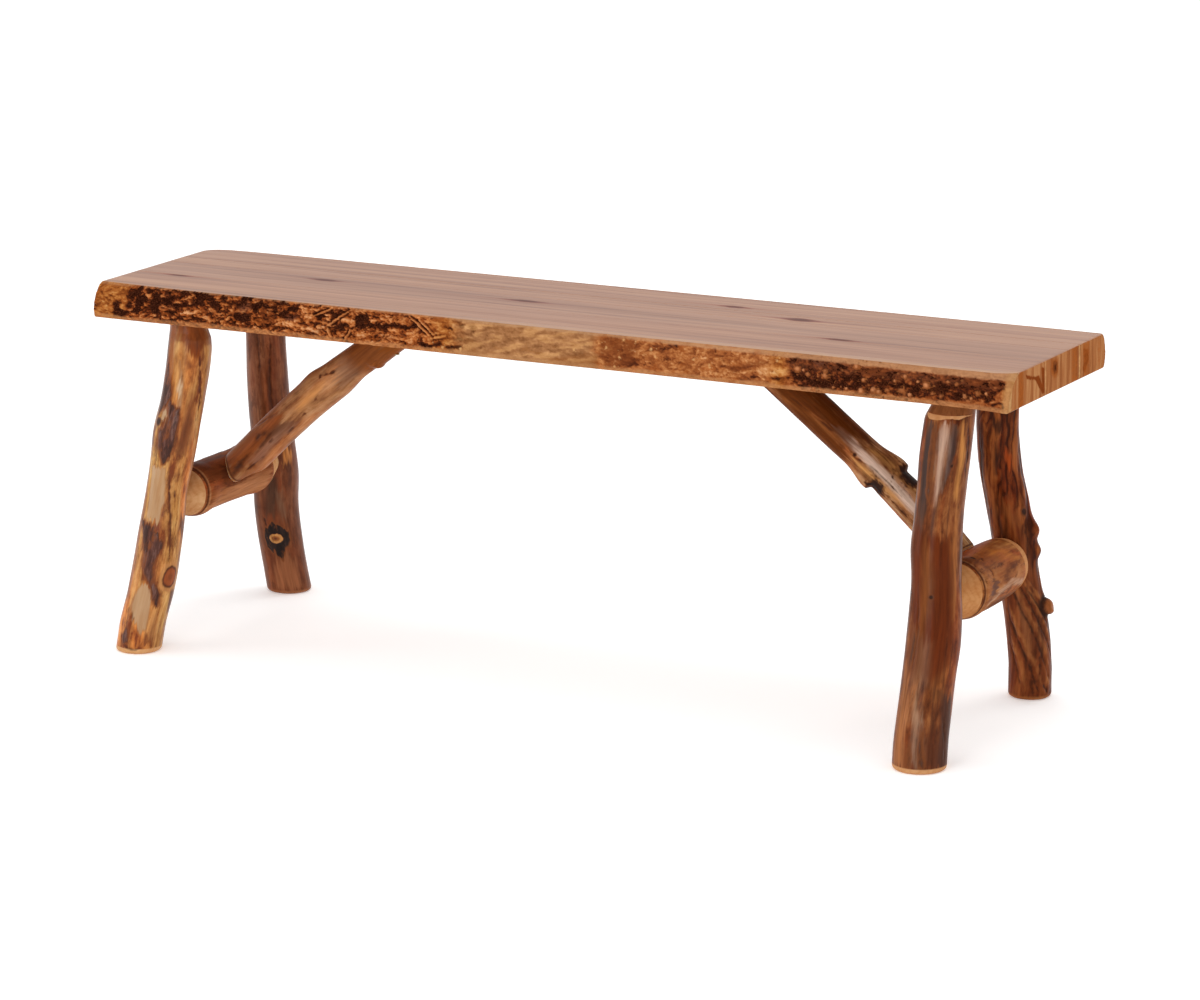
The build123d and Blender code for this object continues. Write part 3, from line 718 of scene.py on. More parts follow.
def build_leg(name, node, stations, neck, tip, seed, marks, mat, twist=0.0, lump=0.9, ripple=0.35, fine=0.1, neck_slope=0.55,
              cav=0.5, facet=None, neck_col=(0.20, 0.075, 0.028), neck_al=0.55, rim=0.9):
    """neck: (z, x, y, radius) stations of the turned neck, up to the seat. facet: (low, high, angle, half angle) of a lens-shaped fresh cut."""
    st = np.array(stations, float)
    ang = np.linspace(-180, 180, NU, endpoint=False)
    zt = SEAT_U
    # rows: z, scale, kind
    rows = [(0.0, k, 0) for k in (0.05, 0.2, 0.36, 0.52, 0.68, 0.82, 0.93, 1.0)]
    rows += [(FOOT * (1 - math.cos(a)), math.sin(a), 1) for a in np.radians([12, 25, 40, 55, 70, 82])]
    zs = np.arange(FOOT, zt - 0.2, 1.06)
    rows += [(z, 0, 2) for z in zs]
    rows += [(zt, k, 3) for k in (1.0, 0.66, 0.33, 0.0)]
    rows += [(z, 0, 4) for z in np.linspace(zt + 1.5, zt + 30.5, 12)]
    rows += [(zt + 32.0, 0, 5)] + [(zt + 32.0, k, 6) for k in (0.8, 0.5, 0.2)]
    Z = np.array([r[0] for r in rows])
    K = np.array([r[1] for r in rows])
    kind = np.array([r[2] for r in rows])
    ze = np.clip(Z, 0, zt)
    zc = np.clip(ze, FOOT, None)
    k0 = (st[1, 1:3] - st[0, 1:3]) / (st[1, 0] - st[0, 0])
    cx = hermite(st[:, 0], st[:, 1], ze)
    cy = hermite(st[:, 0], st[:, 2], ze)
    low = ze < st[0, 0]
    cx[low] = st[0, 1] + k0[0] * (ze[low] - st[0, 0])
    cy[low] = st[0, 2] + k0[1] * (ze[low] - st[0, 0])
    r0 = hermite(st[:, 0], st[:, 3], np.minimum(zc, st[-1, 0]))
    S = Surface(ze, ang, r0, seed)
    marks(S)
    S.roughen(lump, ripple, fine, twist)
    c = S.cavity_shade(cav)
    th = np.radians(ang)[None, :]
    R = S.r + S.h
    # neck and shoulder
    nk = np.array(neck, float)
    zn = nk[0, 0]
    ncx, ncy, nrad = (np.interp(ze, nk[:, 0], nk[:, k]) for k in (1, 2, 3))
    ux, uy = nk[-1, 1], nk[-1, 2]
    dx, dy = (ncx - cx)[:, None], (ncy - cy)[:, None]
    b = dx * np.cos(th) + dy * np.sin(th)
    rho = b + np.sqrt(np.maximum(nrad[:, None] ** 2 - (dx ** 2 + dy ** 2 - b ** 2), 1))
    rho = rho + 0.30 * fbm(S.cx / 12, S.cy / 12, S.t / 9, seed + 20, 3)
    lim = rho + np.maximum(zn - ze, 0)[:, None] * neck_slope
    cutby = R - lim
    active = (ze > zn - 26)[:, None]
    # a smooth meeting of the log and the neck
    kk = 0.7
    Rn = -kk * np.logaddexp(-R / kk, -lim / kk)
    R = np.where(active, np.minimum(Rn, R), R)
    sh = np.where(active, sstep(-0.6, 0.9, cutby + (0.2 if facet else 0.8) * S.wob2), 0)
    zz = S.t + (0.2 if facet else 0.8) * S.wob
    isf = 0 * zz
    if facet:
        da = ((S.a - facet[2] + 180) % 360 - 180) / facet[3]
        zlow = facet[1] - (facet[1] - facet[0]) * np.clip(1 - da ** 2, 0, 1)
        isf = sstep(-0.8, 0.8, zz - zlow) * sstep(facet[1] + 1.2, facet[1] - 0.4, zz) * (np.abs(da) < 1)
        S._paint(0.8 * np.exp(-((zz - zlow + 0.6) / 0.8) ** 2) * (np.abs(da) < 1) * sh, (0.085, 0.028, 0.012))
    S.cut = np.maximum(S.cut, sh * isf)
    # the neck is tinted dark brown: partly stain, partly painted shade under the seat
    S._paint(sstep(zn - 22, zn + 4, S.t + 6 * S.fib) * np.clip(sh + 0.35, 0, 1) * (1 - isf) * neck_al, neck_col)
    S.crack_and_shade = S.crack_and_shade * (1 - sh)
    S.paint[..., 3] *= (1 - sh * isf)
    S.bark *= (1 - sh)
    S.pale *= (1 - sh)
    # painted shade: a thin dark band where the neck meets the seat
    S.crack_and_shade = np.maximum(S.crack_and_shade, 0.55 * np.exp(-((zt - S.t) / 1.3) ** 2))
    RR = R.copy()
    for i in range(len(Z)):
        kd = kind[i]
        if kd == 0:
            RR[i] = (R[i] - FOOT) * K[i]
        elif kd == 1:
            RR[i] = R[i] - FOOT * (1 - K[i])
    X = cx[:, None] + RR * np.cos(th)
    Y = cy[:, None] + RR * np.sin(th)
    top = kind >= 3
    tx = np.where(kind == 3, 0, (Z - zt) / 32.0)
    for i in np.where(top)[0]:
        tcx = ux + (tip[0] - ux) * tx[i]
        tcy = uy + (tip[1] - uy) * tx[i]
        rr = TEN if kind[i] in (3, 4) else (TEN - 1.5 if kind[i] == 5 else (TEN - 1.5) * K[i])
        px, py = tcx + rr * np.cos(th[0]), tcy + rr * np.sin(th[0])
        if kind[i] == 3:
            last = np.where(kind == 2)[0][-1]
            X[i] = px + (X[last] - px) * K[i]
            Y[i] = py + (Y[last] - py) * K[i]
        else:
            X[i], Y[i] = px, py
    S.cut[top] = 1.0
    S.cut[kind == 0] = 1.0
    foot = np.where(kind == 1)[0]
    S.cut[foot] = np.linspace(1.0, rim, len(foot))[:, None]
    edge = np.where(kind == 2)[0][:4]
    S.cut[edge] = np.maximum(S.cut[edge], rim * np.array([0.95, 0.75, 0.5, 0.25])[:, None])
    for arr in (S.bark, S.crack_and_shade, S.pale):
        arr[kind <= 1] = 0
        arr[top] = 0
    S.paint[(kind <= 1) | top, :, 3] = 0
    Zg = np.repeat(Z[:, None], NU, 1)
    # local grain coordinates, unwound along the log
    tw = np.radians(twist * Z)[:, None] + th
    lr = np.hypot(X - cx[:, None], Y - cy[:, None])
    F = S.fields(lr * np.cos(tw), lr * np.sin(tw), Zg)
    V = with_ends(np.stack([X, Y, Zg], -1))
    q, t = tube_faces(len(Z), NU)
    return mesh_object(name, V, q, t, F, node, [mat])


def build_rail(name, node, A, B, body, front, rear, seed, marks, mat, tips, cav=0.4, lump=0.8, ripple=0.3):
    """body: (t, radius) stations between the two shoulders. front and rear: (t, radius) of the coned or domed ends, outwards."""
    A, B = np.array(A, float), np.array(B, float)
    d = (B - A) / (B - A)[1]
    nu = 150
    ang = np.linspace(-180, 180, nu, endpoint=False)
    bs = np.array(body, float)
    rows = []      # t, base radius, kind (0 cap, 1 tenon, 2 shoulder, 3 body)
    t0, t1 = tips
    rows += [(t0, TEN * k * 0.9, 0) for k in (0.05, 0.35, 0.65, 0.9, 1.0)]
    rows += [(t0 + 1.5, TEN, 1)]
    f_end = front[-1][0]
    rows += [(t, TEN, 1) for t in np.linspace(t0 + 5, f_end - 0.8, 8)]
    fr = np.array(front[::-1], float)
    n = max(6, int(abs(fr[-1, 0] - fr[0, 0]) / 1.2))
    for t in np.linspace(fr[0, 0], fr[-1, 0], n, endpoint=False):
        rows.append((t, float(np.interp(t, fr[:, 0], fr[:, 1])), 2))
    tb = np.arange(bs[0, 0], bs[-1, 0], 1.25)
    rb = hermite(bs[:, 0], bs[:, 1], tb)
    rows += [(t, r, 3) for t, r in zip(tb, rb)]
    rr_ = np.array(rear, float)
    n = max(6, int(abs(rr_[-1, 0] - rr_[0, 0]) / 1.2))
    for t in np.linspace(rr_[0, 0], rr_[-1, 0], n):
        rows.append((t, float(np.interp(t, rr_[:, 0], rr_[:, 1])), 2))
    rows += [(t, TEN, 1) for t in np.linspace(rr_[-1, 0] + 0.8, t1 - 5, 8)]
    rows += [(t1 - 1.5, TEN, 1)]
    rows += [(t1, TEN * k * 0.9, 0) for k in (1.0, 0.9, 0.65, 0.35, 0.05)]
    T = np.array([r[0] for r in rows])
    R0 = np.array([r[1] for r in rows])
    kind = np.array([r[2] for r in rows])
    S = Surface(T, ang, np.maximum(R0, 8.0), seed)
    marks(S)
    S.roughen(lump, ripple, 0.08)
    S.cavity_shade(cav)
    # fade the relief out over the shoulders, where the cutter ran
    w = np.where(kind == 3, 1.0, 0.0)
    sf = np.interp(T, [front[0][0] - 6, front[0][0]], [0.12, 1.0]) * np.interp(T, [rear[0][0], rear[0][0] + 8], [1.0, 0.12])
    sf = np.where(kind == 3, 1.0, np.where(kind == 2, sf, 0.0))
    S.h *= sf[:, None]
    R = R0[:, None] + S.h
    # the cutter left a pale rim behind; the dark line in front of it is painted shade in the step at the shoulder
    tt = S.t + 0.5 * S.wob
    body = (kind == 3)[:, None]
    S._paint(0.85 * np.exp(-((tt - bs[0, 0] - 2.6) / 1.5) ** 2) * body, (0.070, 0.020, 0.009))
    S._paint(0.55 * np.exp(-((tt - bs[0, 0] - 5.6) / 1.2) ** 2) * body, (0.400, 0.190, 0.085))
    S.cut = np.maximum(S.cut, sstep(bs[-1, 0] - 5.2, bs[-1, 0] - 3.6, tt) * body)
    S.paint[..., 3] *= 1 - S.cut
    S.cut[kind <= 1] = 1
    sh_f = (kind == 2) & (T < 0)
    sh_r = (kind == 2) & (T > 0)
    S.cut[sh_f] = 1
    S.cut[sh_r] = 1
    for arr in (S.bark, S.crack_and_shade, S.pale):
        arr[kind <= 2] = 0
    S.paint[kind <= 2, :, 3] = 0
    th = np.radians(ang)[None, :]
    C = A[None, :] + (T - A[1])[:, None] * d[None, :]
    X = C[:, 0, None] + R * np.cos(th)
    Z = C[:, 2, None] + R * np.sin(th)
    Y = np.repeat(C[:, 1, None], nu, 1)
    F = S.fields(R * np.cos(th), R * np.sin(th), np.repeat(T[:, None], nu, 1))
    V = with_ends(np.stack([X, Y, Z], -1))
    q, t = tube_faces(len(T), nu)
    return mesh_object(name, V, q[:, ::-1], t[:, ::-1], F, node, [mat]), S


def build_brace(name, node, line, y, seed, marks, mat, A, B, rail_r, cav=0.5, lump=0.8, ripple=0.35, twist=0.0, foot=1.0):
    """A bent branch from inside the end rail up past the seat's underside; its ends are trimmed after."""
    ln = np.array(line, float)
    d = np.concatenate([[0], np.cumsum(np.hypot(np.diff(ln[:, 0]), np.diff(ln[:, 1])))])
    T = np.arange(0, d[-1], 1.1)
    cx, cz, r0 = hermite(d, ln[:, 0], T), hermite(d, ln[:, 1], T), hermite(d, ln[:, 2], T)
    dx, dz = np.gradient(cx, T), np.gradient(cz, T)
    n = np.hypot(dx, dz)
    dx, dz = dx / n, dz / n
    sgn = 1 if dx.mean() > 0 else -1
    ux, uz = -dz * sgn, dx * sgn            # the upper normal
    nu = 150
    ang = np.linspace(-180, 180, nu, endpoint=False)
    S = Surface(T, ang, r0, seed)
    marks(S)
    S.roughen(lump, ripple, 0.09, twist)
    # the foot spreads over the rail towards the front and is pared back underneath
    spread = sstep(66, 34, S.t)
    S.h += foot * spread * (8.5 * np.exp(-((S.a + 103) / 34) ** 2) - 4.5 * sstep(0.80, 1.0, -np.cos(np.radians(S.a))))
    S.h -= foot * 7.0 * sstep(58, 28, S.t) * sstep(0.10, 1.0, -np.cos(np.radians(S.a)))
    th = np.radians(ang)[None, :]

    def place():
        R = S.r + S.h
        X = cx[:, None] + R * np.cos(th) * ux[:, None]
        Z = cz[:, None] + R * np.cos(th) * uz[:, None]
        Y = y + R * np.sin(th) + 0 * X
        return X, Y, Z
    X, Y, Z = place()
    # the cope: how far each point is from the rail's surface
    A, B = np.array(A, float), np.array(B, float)
    ax = (B - A) / np.linalg.norm(B - A)
    w = np.stack([X - A[0], Y - A[1], Z - A[2]], -1)
    al = w @ ax
    dist = np.linalg.norm(w - al[..., None] * ax, axis=-1) - rail_r
    S.h -= 1.3 * sstep(3.2, 0.0, dist)
    S.cut = np.maximum(S.cut, sstep(2.9, 2.0, dist + 0.5 * S.wob))
    # dark line just outside the cope: painted shade where the brace meets the rail
    S._paint(0.8 * np.exp(-((dist - 4.0) / 1.2) ** 2), (0.095, 0.032, 0.013))
    S.paint[..., 3] *= 1 - S.cut
    S.cavity_shade(cav)
    for arr in (S.bark, S.crack_and_shade):
        arr *= (1 - S.cut)
    X, Y, Z = place()
    # caps
    rowsV = np.stack([X, Y, Z], -1)
    tw = np.radians(twist * T)[:, None] + th
    F = S.fields((S.r + S.h) * np.cos(tw), (S.r + S.h) * np.sin(tw), np.repeat(T[:, None], nu, 1))
    V = with_ends(rowsV)
    q, t = tube_faces(len(T), nu)
    if sgn > 0:
        q, t = q[:, ::-1], t[:, ::-1]
    return mesh_object(name, V, q, t, F, node, [mat])


def trim_brace(o, rail):
    """Cuts the brace flat under the seat and copes its foot over the rail."""
    me = o.data
    bm = bmesh.new()
    bm.from_mesh(me)
    geom = bm.verts[:] + bm.edges[:] + bm.faces[:]
    r = bmesh.ops.bisect_plane(bm, geom=geom, plane_co=(0, 0, SEAT_U * 0.001), plane_no=(0, 0, 1), clear_outer=True)
    edges = [e for e in r["geom_cut"] if isinstance(e, bmesh.types.BMEdge)]
    bmesh.ops.edgenet_fill(bm, edges=edges)
    bm.to_mesh(me)
    bm.free()
    m = o.modifiers.new("cope", "BOOLEAN")
    m.operation = "DIFFERENCE"
    m.object = rail
    m.solver = "MANIFOLD" if "MANIFOLD" in [e.identifier for e in m.bl_rna.properties["solver"].enum_items] else "EXACT"
    dg = bpy.context.evaluated_depsgraph_get()
    new = bpy.data.meshes.new_from_object(o.evaluated_get(dg))
    o.modifiers.clear()
    old = o.data
    o.data = new
    bpy.data.meshes.remove(old)
    new.name = o.name


# ---- log shapes (same stations as the CAD) ---------------------------------
LEG_FL = [(5, -540.9, -164.5, 28.6), (35, -538.0, -159.4, 28.8), (76, -530.8, -150.5, 29.0),
          (116, -526.2, -143.1, 28.4), (155, -522.3, -136.2, 27.4), (195, -518.9, -129.5, 25.9),
          (235, -514.4, -122.2, 27.2), (274, -511.2, -115.7, 28.5), (314, -505.4, -107.8, 27.0),
          (353, -501.6, -100.9, 27.1), (385, -500.6, -96.5, 26.8)]
LEG_RL = [(5, -531.0, 179.4, 28.8), (33, -531.8, 172.0, 28.4), (78, -532.5, 160.3, 28.6),
          (123, -530.8, 149.9, 28.8), (167, -525.6, 141.4, 29.4), (212, -523.2, 131.5, 27.6),
          (256, -521.3, 121.4, 26.8), (300, -518.2, 111.9, 26.1), (343, -514.4, 103.0, 25.3),
          (385, -509.7, 94.6, 25.0)]
LEG_FR = [(5, 529.9, -197.0, 31.4), (31, 528.8, -190.9, 31.3), (66, 528.8, -181.7, 31.2),
          (102, 529.2, -172.3, 30.7), (137, 529.6, -162.9, 31.3), (173, 528.3, -154.5, 30.5),
          (208, 525.5, -146.7, 28.7), (244, 521.8, -139.5, 29.5), (279, 520.4, -131.0, 28.2),
          (315, 520.1, -122.0, 28.5), (350, 519.8, -113.0, 29.5), (387, 520.0, -103.5, 29.0)]
LEG_RR = [(5, 522.3, 147.0, 25.8), (37, 523.3, 143.6, 25.8), (78, 522.2, 138.1, 26.0),
          (128, 517.5, 129.5, 25.4), (159, 512.8, 123.3, 25.4), (199, 509.2, 117.0, 25.9),
          (249, 503.6, 107.8, 26.0), (289, 498.6, 100.1, 25.5), (328, 496.8, 94.3, 24.9),
          (385, 498.5, 88.5, 24.6)]
RAIL_L_A, RAIL_L_B = (-522.0, -81.0, 185.0), (-523.0, 85.0, 185.0)
RAIL_R_A, RAIL_R_B = (523.6, -84.0, 181.5), (514.4, 65.5, 176.3)
BRACE_L = [(-521.0, 178.0, 21.5), (-500.0, 197.5, 22.8), (-471.0, 225.0, 23.6), (-430.0, 264.0, 23.8),
           (-388.0, 301.0, 23.6), (-348.0, 332.5, 23.2), (-306.0, 363.0, 23.0), (-262.0, 396.0, 23.0),
           (-215.0, 431.0, 23.0)]
BRACE_R = [(514.0, 179.5, 20.5), (497.0, 195.0, 20.8), (479.0, 212.0, 21.4), (444.0, 243.5, 22.0),
           (412.0, 272.5, 22.0), (393.0, 288.5, 21.8), (349.0, 321.5, 21.8), (305.0, 355.0, 21.8),
           (262.0, 388.0, 21.8), (205.0, 431.0, 21.8)]


# ---- marks on each log: (place along, angle) in mm and degrees ----------------
def marks_fl(S):
    S.add_bark([(313, -93), (303, -66), (285, -58), (264, -56), (247, -63), (236, -84), (256, -102), (274, -108), (281, -94), (292, -86), (306, -95)])
    S.add_bark([(163, -125), (161, -90), (149, -66), (140, -50), (132, -50), (124, -58), (108, -64), (94, -57), (76, -35), (60, -35), (62, -46), (82, -60), (96, -77), (109, -92), (126, -94), (148, -106)])
    S.add_bark([(362, -124), (340, -105), (316, -92), (300, -112), (290, -128), (320, -140), (343, -136)], lift=0.3, amount=0.8)
    S.add_bark([(34, -101), (14, -90), (10, -108), (23, -112)], lift=0.3, ramp=7)
    S.add_bark([(30, -48), (12, -39), (10, -49), (22, -50)], lift=0.2, ramp=6, amount=0.75)
    # the far side
    S.add_bark([(330, 70), (300, 95), (240, 100), (215, 80), (250, 62), (300, 55)])
    S.add_bark([(190, 140), (160, 165), (110, 160), (80, 140), (120, 120), (160, 122)])
    S.add_bark([(90, 60), (60, 78), (35, 70), (50, 50)], lift=0.4)
    S.add_bark([(390, 150), (360, 175), (335, 160), (350, 140)], lift=0.4)
    S.add_pale([(232, -123), (231, -72), (193, -58), (162, -68), (166, -108), (200, -115)])
    S.add_pale([(90, -86), (84, -57), (53, -47), (34, -48), (26, -62), (41, -91), (59, -104), (75, -101)])
    S.add_pale([(306, -100), (290, -92), (287, -110), (302, -112)], dip=0.8, soft=3)
    # pale streak with almost no dip on the upper front: painted highlight
    S.add_pale([(366, -78), (335, -64), (303, -58), (298, -68), (328, -74), (362, -86)], amount=0.80, dip=0.1)
    S.add_pale([(240, -50), (200, -36), (150, -28), (150, -40), (200, -50)], amount=0.45, dip=0.0)
    S.add_pale([(200, 90), (150, 100), (130, 80), (170, 70)], amount=0.8)
    S.add_pale([(330, 130), (290, 150), (270, 130), (300, 115)], amount=0.8)
    S.add_pale([(120, 20), (70, 40), (60, 25), (100, 8)], amount=0.6)
    S.add_paint([(330, -40), (300, -14), (262, -10), (240, -22), (262, -50), (300, -52)], (0.250, 0.080, 0.022), 0.62, 6)
    # red-brown and dark patches at the top: painted shade under the seat
    S.add_paint([(408, -92), (408, -18), (384, -18), (362, -34), (378, -66)], (0.220, 0.042, 0.000), 0.88, 7)
    S.add_paint([(404, -50), (396, -26), (376, -26), (382, -46)], (0.080, 0.022, 0.009), 0.75, 6)
    S.add_paint([(372, -70), (356, -50), (344, -30), (352, -62)], (0.270, 0.085, 0.022), 0.6, 5)
    S.add_paint([(400, -112), (352, -96), (320, -84), (300, -92), (306, -118), (360, -128)], (0.300, 0.092, 0.012), 0.75, 6)
    S.add_paint([(240, -132), (180, -120), (120, -128), (60, -120), (60, -150), (240, -150)], (0.230, 0.072, 0.020), 0.70, 8)
    S.add_paint([(340, -10), (280, 4), (200, 10), (140, 14), (140, 60), (340, 50)], (0.320, 0.110, 0.030), 0.65, 9)
    S.add_paint([(76, -8), (74, 30), (40, 36), (44, 8)], (0.130, 0.040, 0.014), 0.85, 5)
    S.add_paint([(167, -7), (161, 20), (143, 28), (150, -9)], (0.130, 0.040, 0.014), 0.85, 5)
    # small whitish spot: painted highlight
    S.add_paint([(345, -76), (332, -68), (318, -70), (330, -80)], (0.560, 0.390, 0.240), 0.60, 3)
    # dark band down the left side: painted shade on the log's shaded side
    S.add_paint([(394, -178), (394, -134), (345, -120), (304, -112), (290, -178)], (0.085, 0.021, 0.007), 0.85, 6)
    S.add_paint([(58, -30), (30, -18), (10, -20), (14, -44), (44, -42)], (0.380, 0.165, 0.055), 0.6, 6)
    S.line([(378, -34), (354, -27), (323, -13), (282, 2)], 1.6, 0.9, 0.75)
    S.line([(232, -63), (192, -48), (150, -35), (118, -24)], 1.0, 0.9, 0.85)
    S.line([(205, -40), (190, -33)], 1.2, 0.5, 0.6)
    S.line([(54, -94), (42, -88)], 1.6, 0.5, 0.7)
    S.line([(12, -104), (7, -88), (6, -70), (9, -54)], 2.2, 0.4, 0.75)
    S.line([(46, -124), (28, -118), (12, -114)], 2.0, 0.5, 0.65)
    S.add_paint([(300, -36), (286, -22), (262, -30), (238, -44), (246, -56), (272, -46)], (0.120, 0.030, 0.008), 0.60, 5)
    S.line([(346, -72), (334, -68)], 1.2, 0.3, 0.5)
    S.line([(228, 40), (180, 44), (120, 60)], 1.2, 0.8, 0.7)
    S.knot(95, -17, 13.0, 10.6, "red", 2.4)
    S.knot(286, -116, 4.5, 4.5, "dark", 1.4)
    S.knot(250, 120, 9, 6, "red", 1.6)
    S.knot(60, 160, 6, 5, "dark", 1.2)


def marks_rl(S):
    S.bark = np.maximum(S.bark, np.clip(0.5 - S.poly([(101, -76), (96, -52), (88, -36), (76, -34), (62, -50), (47, -62), (60, -76), (66, -96), (80, -102), (92, -96)], 2.6, 7) / 5, 0, 1))
    S.knot(79, -69, 6.6, 8.6, "eye", 1.5)
    S.add_paint([(213, -27), (200, -4), (180, -18), (182, -44)], (0.46, 0.175, 0.045), 0.70, 6)
    S.add_paint([(165, -84), (168, -60), (140, -50), (108, -66), (112, -92)], (0.075, 0.034, 0.019), 0.78, 7)
    S.add_paint([(150, -48), (112, -30), (104, -44), (140, -60)], (0.200, 0.105, 0.060), 0.5, 5)
    S.add_paint([(98, -44), (84, -30), (70, -34), (84, -48)], (0.330, 0.110, 0.032), 0.55, 5)
    S.add_paint([(60, -60), (50, -30), (8, -20), (8, -90), (40, -84)], (0.330, 0.118, 0.048), 0.80, 9)
    S.line([(150, -62), (120, -70)], 1.6, 0.5, 0.5)
    S.line([(168, -72), (140, -76)], 1.3, 0.4, 0.45)
    S.line([(390, -88), (330, -80), (290, -84)], 1.8, 0.7, 0.30)
    S.line([(380, -50), (340, -46), (300, -52), (240, -50)], 1.8, 0.7, 0.30)
    S.line([(108, -98), (93, -90)], 1.6, 0.5, 0.6)
    S.line([(60, -42), (44, -40)], 2.0, 0.3, 0.4)
    S.line([(250, -20), (180, -14)], 1.5, 0.6, 0.4)
    S.line([(300, 90), (240, 84), (160, 92)], 1.4, 0.9, 0.6)
    S.add_bark([(280, 40), (250, 62), (200, 58), (190, 42), (230, 30)], lift=0.5)
    S.add_bark([(130, 140), (100, 165), (60, 150), (80, 128)], lift=0.5)
    S.knot(330, 100, 9, 7, "worn", 1.8)
    S.knot(140, 60, 7, 6, "dark", 1.4)
    S.knot(220, -170, 8, 7, "orange", 1.8)
    S._paint(0.30 * sstep(170, 110, S.t + 12 * S.wob), (0.105, 0.032, 0.013))


def marks_fr(S):
    S.add_bark([(380, -104), (353, -106), (331, -106), (311, -104), (296, -92), (316, -95), (335, -97), (356, -95)], lift=0.1, ramp=9, amount=0.75)
    S.add_paint([(386, -60), (382, -44), (358, -46), (330, -56), (318, -64), (341, -64), (363, -62)], (0.070, 0.037, 0.030), 0.84, 4)
    # pale mauve patch near the top of the front: painted highlight
    S.add_paint([(384, -92), (386, -66), (350, -64), (312, -70), (296, -80), (345, -88)], (0.385, 0.240, 0.170), 0.58, 6)
    S.add_paint([(386, -122), (386, -98), (340, -92), (300, -94), (280, -104), (290, -122), (330, -126)], (0.048, 0.023, 0.017), 0.84, 6)
    S.add_paint([(270, -106), (252, -97), (236, -104), (250, -114)], (0.050, 0.018, 0.010), 0.72, 5)
    S.add_paint([(388, -40), (357, -16), (334, -22), (300, -26), (300, -38), (340, -36)], (0.460, 0.190, 0.050), 0.75, 6)
    S.add_paint([(300, -104), (270, -96), (240, -100), (240, -130), (300, -130)], (0.085, 0.034, 0.018), 0.6, 7)
    S.line([(387, -16), (356, -10), (325, -6)], 1.7, 0.8, 0.6)
    S.add_paint([(232, -90), (226, -50), (181, -41), (165, -60), (176, -87), (201, -98)], (0.085, 0.027, 0.011), 0.62, 9)
    S.add_paint([(290, -24), (243, -10), (190, -12), (170, -24), (210, -30), (250, -34)], (0.420, 0.155, 0.042), 0.55, 7)
    S.add_bark([(163, -119), (150, -100), (113, -112), (100, -124), (132, -126)], lift=0.1, ramp=10, amount=0.62)
    # pale streak down the front: painted highlight
    S.add_pale([(160, -88), (126, -76), (105, -72), (84, -70), (84, -80), (120, -86)], amount=0.40, dip=0.0)
    S.add_paint([(130, -45), (112, -26), (84, -34), (76, -56), (108, -60)], (0.330, 0.112, 0.030), 0.50, 8)
    S.add_paint([(270, -130), (262, -40), (240, -24), (120, -30), (104, -60), (110, -130)], (0.112, 0.020, 0.003), 0.86, 12)
    S.add_paint([(262, -96), (250, -78), (205, -74), (150, -90), (150, -104), (210, -102)], (0.230, 0.078, 0.020), 0.50, 6)
    S.add_paint([(150, -98), (144, -76), (96, -70), (58, -74), (60, -100), (110, -106)], (0.320, 0.165, 0.084), 0.32, 9)
    S.add_paint([(36, -140), (30, 10), (4, 10), (4, -140)], (0.130, 0.036, 0.013), 0.45, 8)
    S.knot(98, -42, 4.0, 3.6, "orange", 0.6)
    S.add_paint([(90, -38), (84, 4), (36, 25), (4, 10), (4, -30), (42, -30)], (0.075, 0.026, 0.014), 0.78, 8)
    S.add_paint([(64, -48), (50, -30), (8, -36), (8, -52), (40, -56)], (0.065, 0.018, 0.007), 0.55, 5)
    # greyish-mauve patch low on the front: painted highlight
    S.add_paint([(80, -88), (60, -64), (20, -62), (6, -66), (8, -84), (50, -92)], (0.290, 0.175, 0.110), 0.42, 7)
    S.add_paint([(120, -120), (60, -104), (6, -104), (6, -140), (120, -140)], (0.340, 0.125, 0.040), 0.62, 8)
    S.add_bark([(34, -88), (7, -80), (7, -99), (22, -98)], lift=0.1, ramp=8, amount=0.62)
    S.add_bark([(56, -73), (28, -58), (6, -52), (6, -70), (28, -76)], lift=0.1, ramp=8, amount=0.62)
    S.line([(75, -30), (30, -8), (10, -4)], 1.6, 0.7, 0.45)
    S.line([(200, -110), (160, -104), (120, -108)], 1.8, 0.5, 0.4)
    S.line([(290, -60), (250, -56), (215, -62)], 1.8, 0.4, 0.30)
    S.line([(330, 80), (260, 92), (200, 84)], 1.4, 0.9, 0.6)
    S.add_bark([(350, 120), (320, 150), (260, 140), (280, 118)], lift=0.5)
    S.add_bark([(150, 60), (120, 85), (80, 70), (100, 50)], lift=0.5)
    S.knot(233, 130, 10, 8, "worn", 2.0)
    S.knot(90, 150, 6, 5, "dark", 1.2)
    S.knot(341, -51, 2.0, 1.8, "dark", 0.3)
    S.knot(196, -78, 2.4, 2.6, "dark", 0.2)


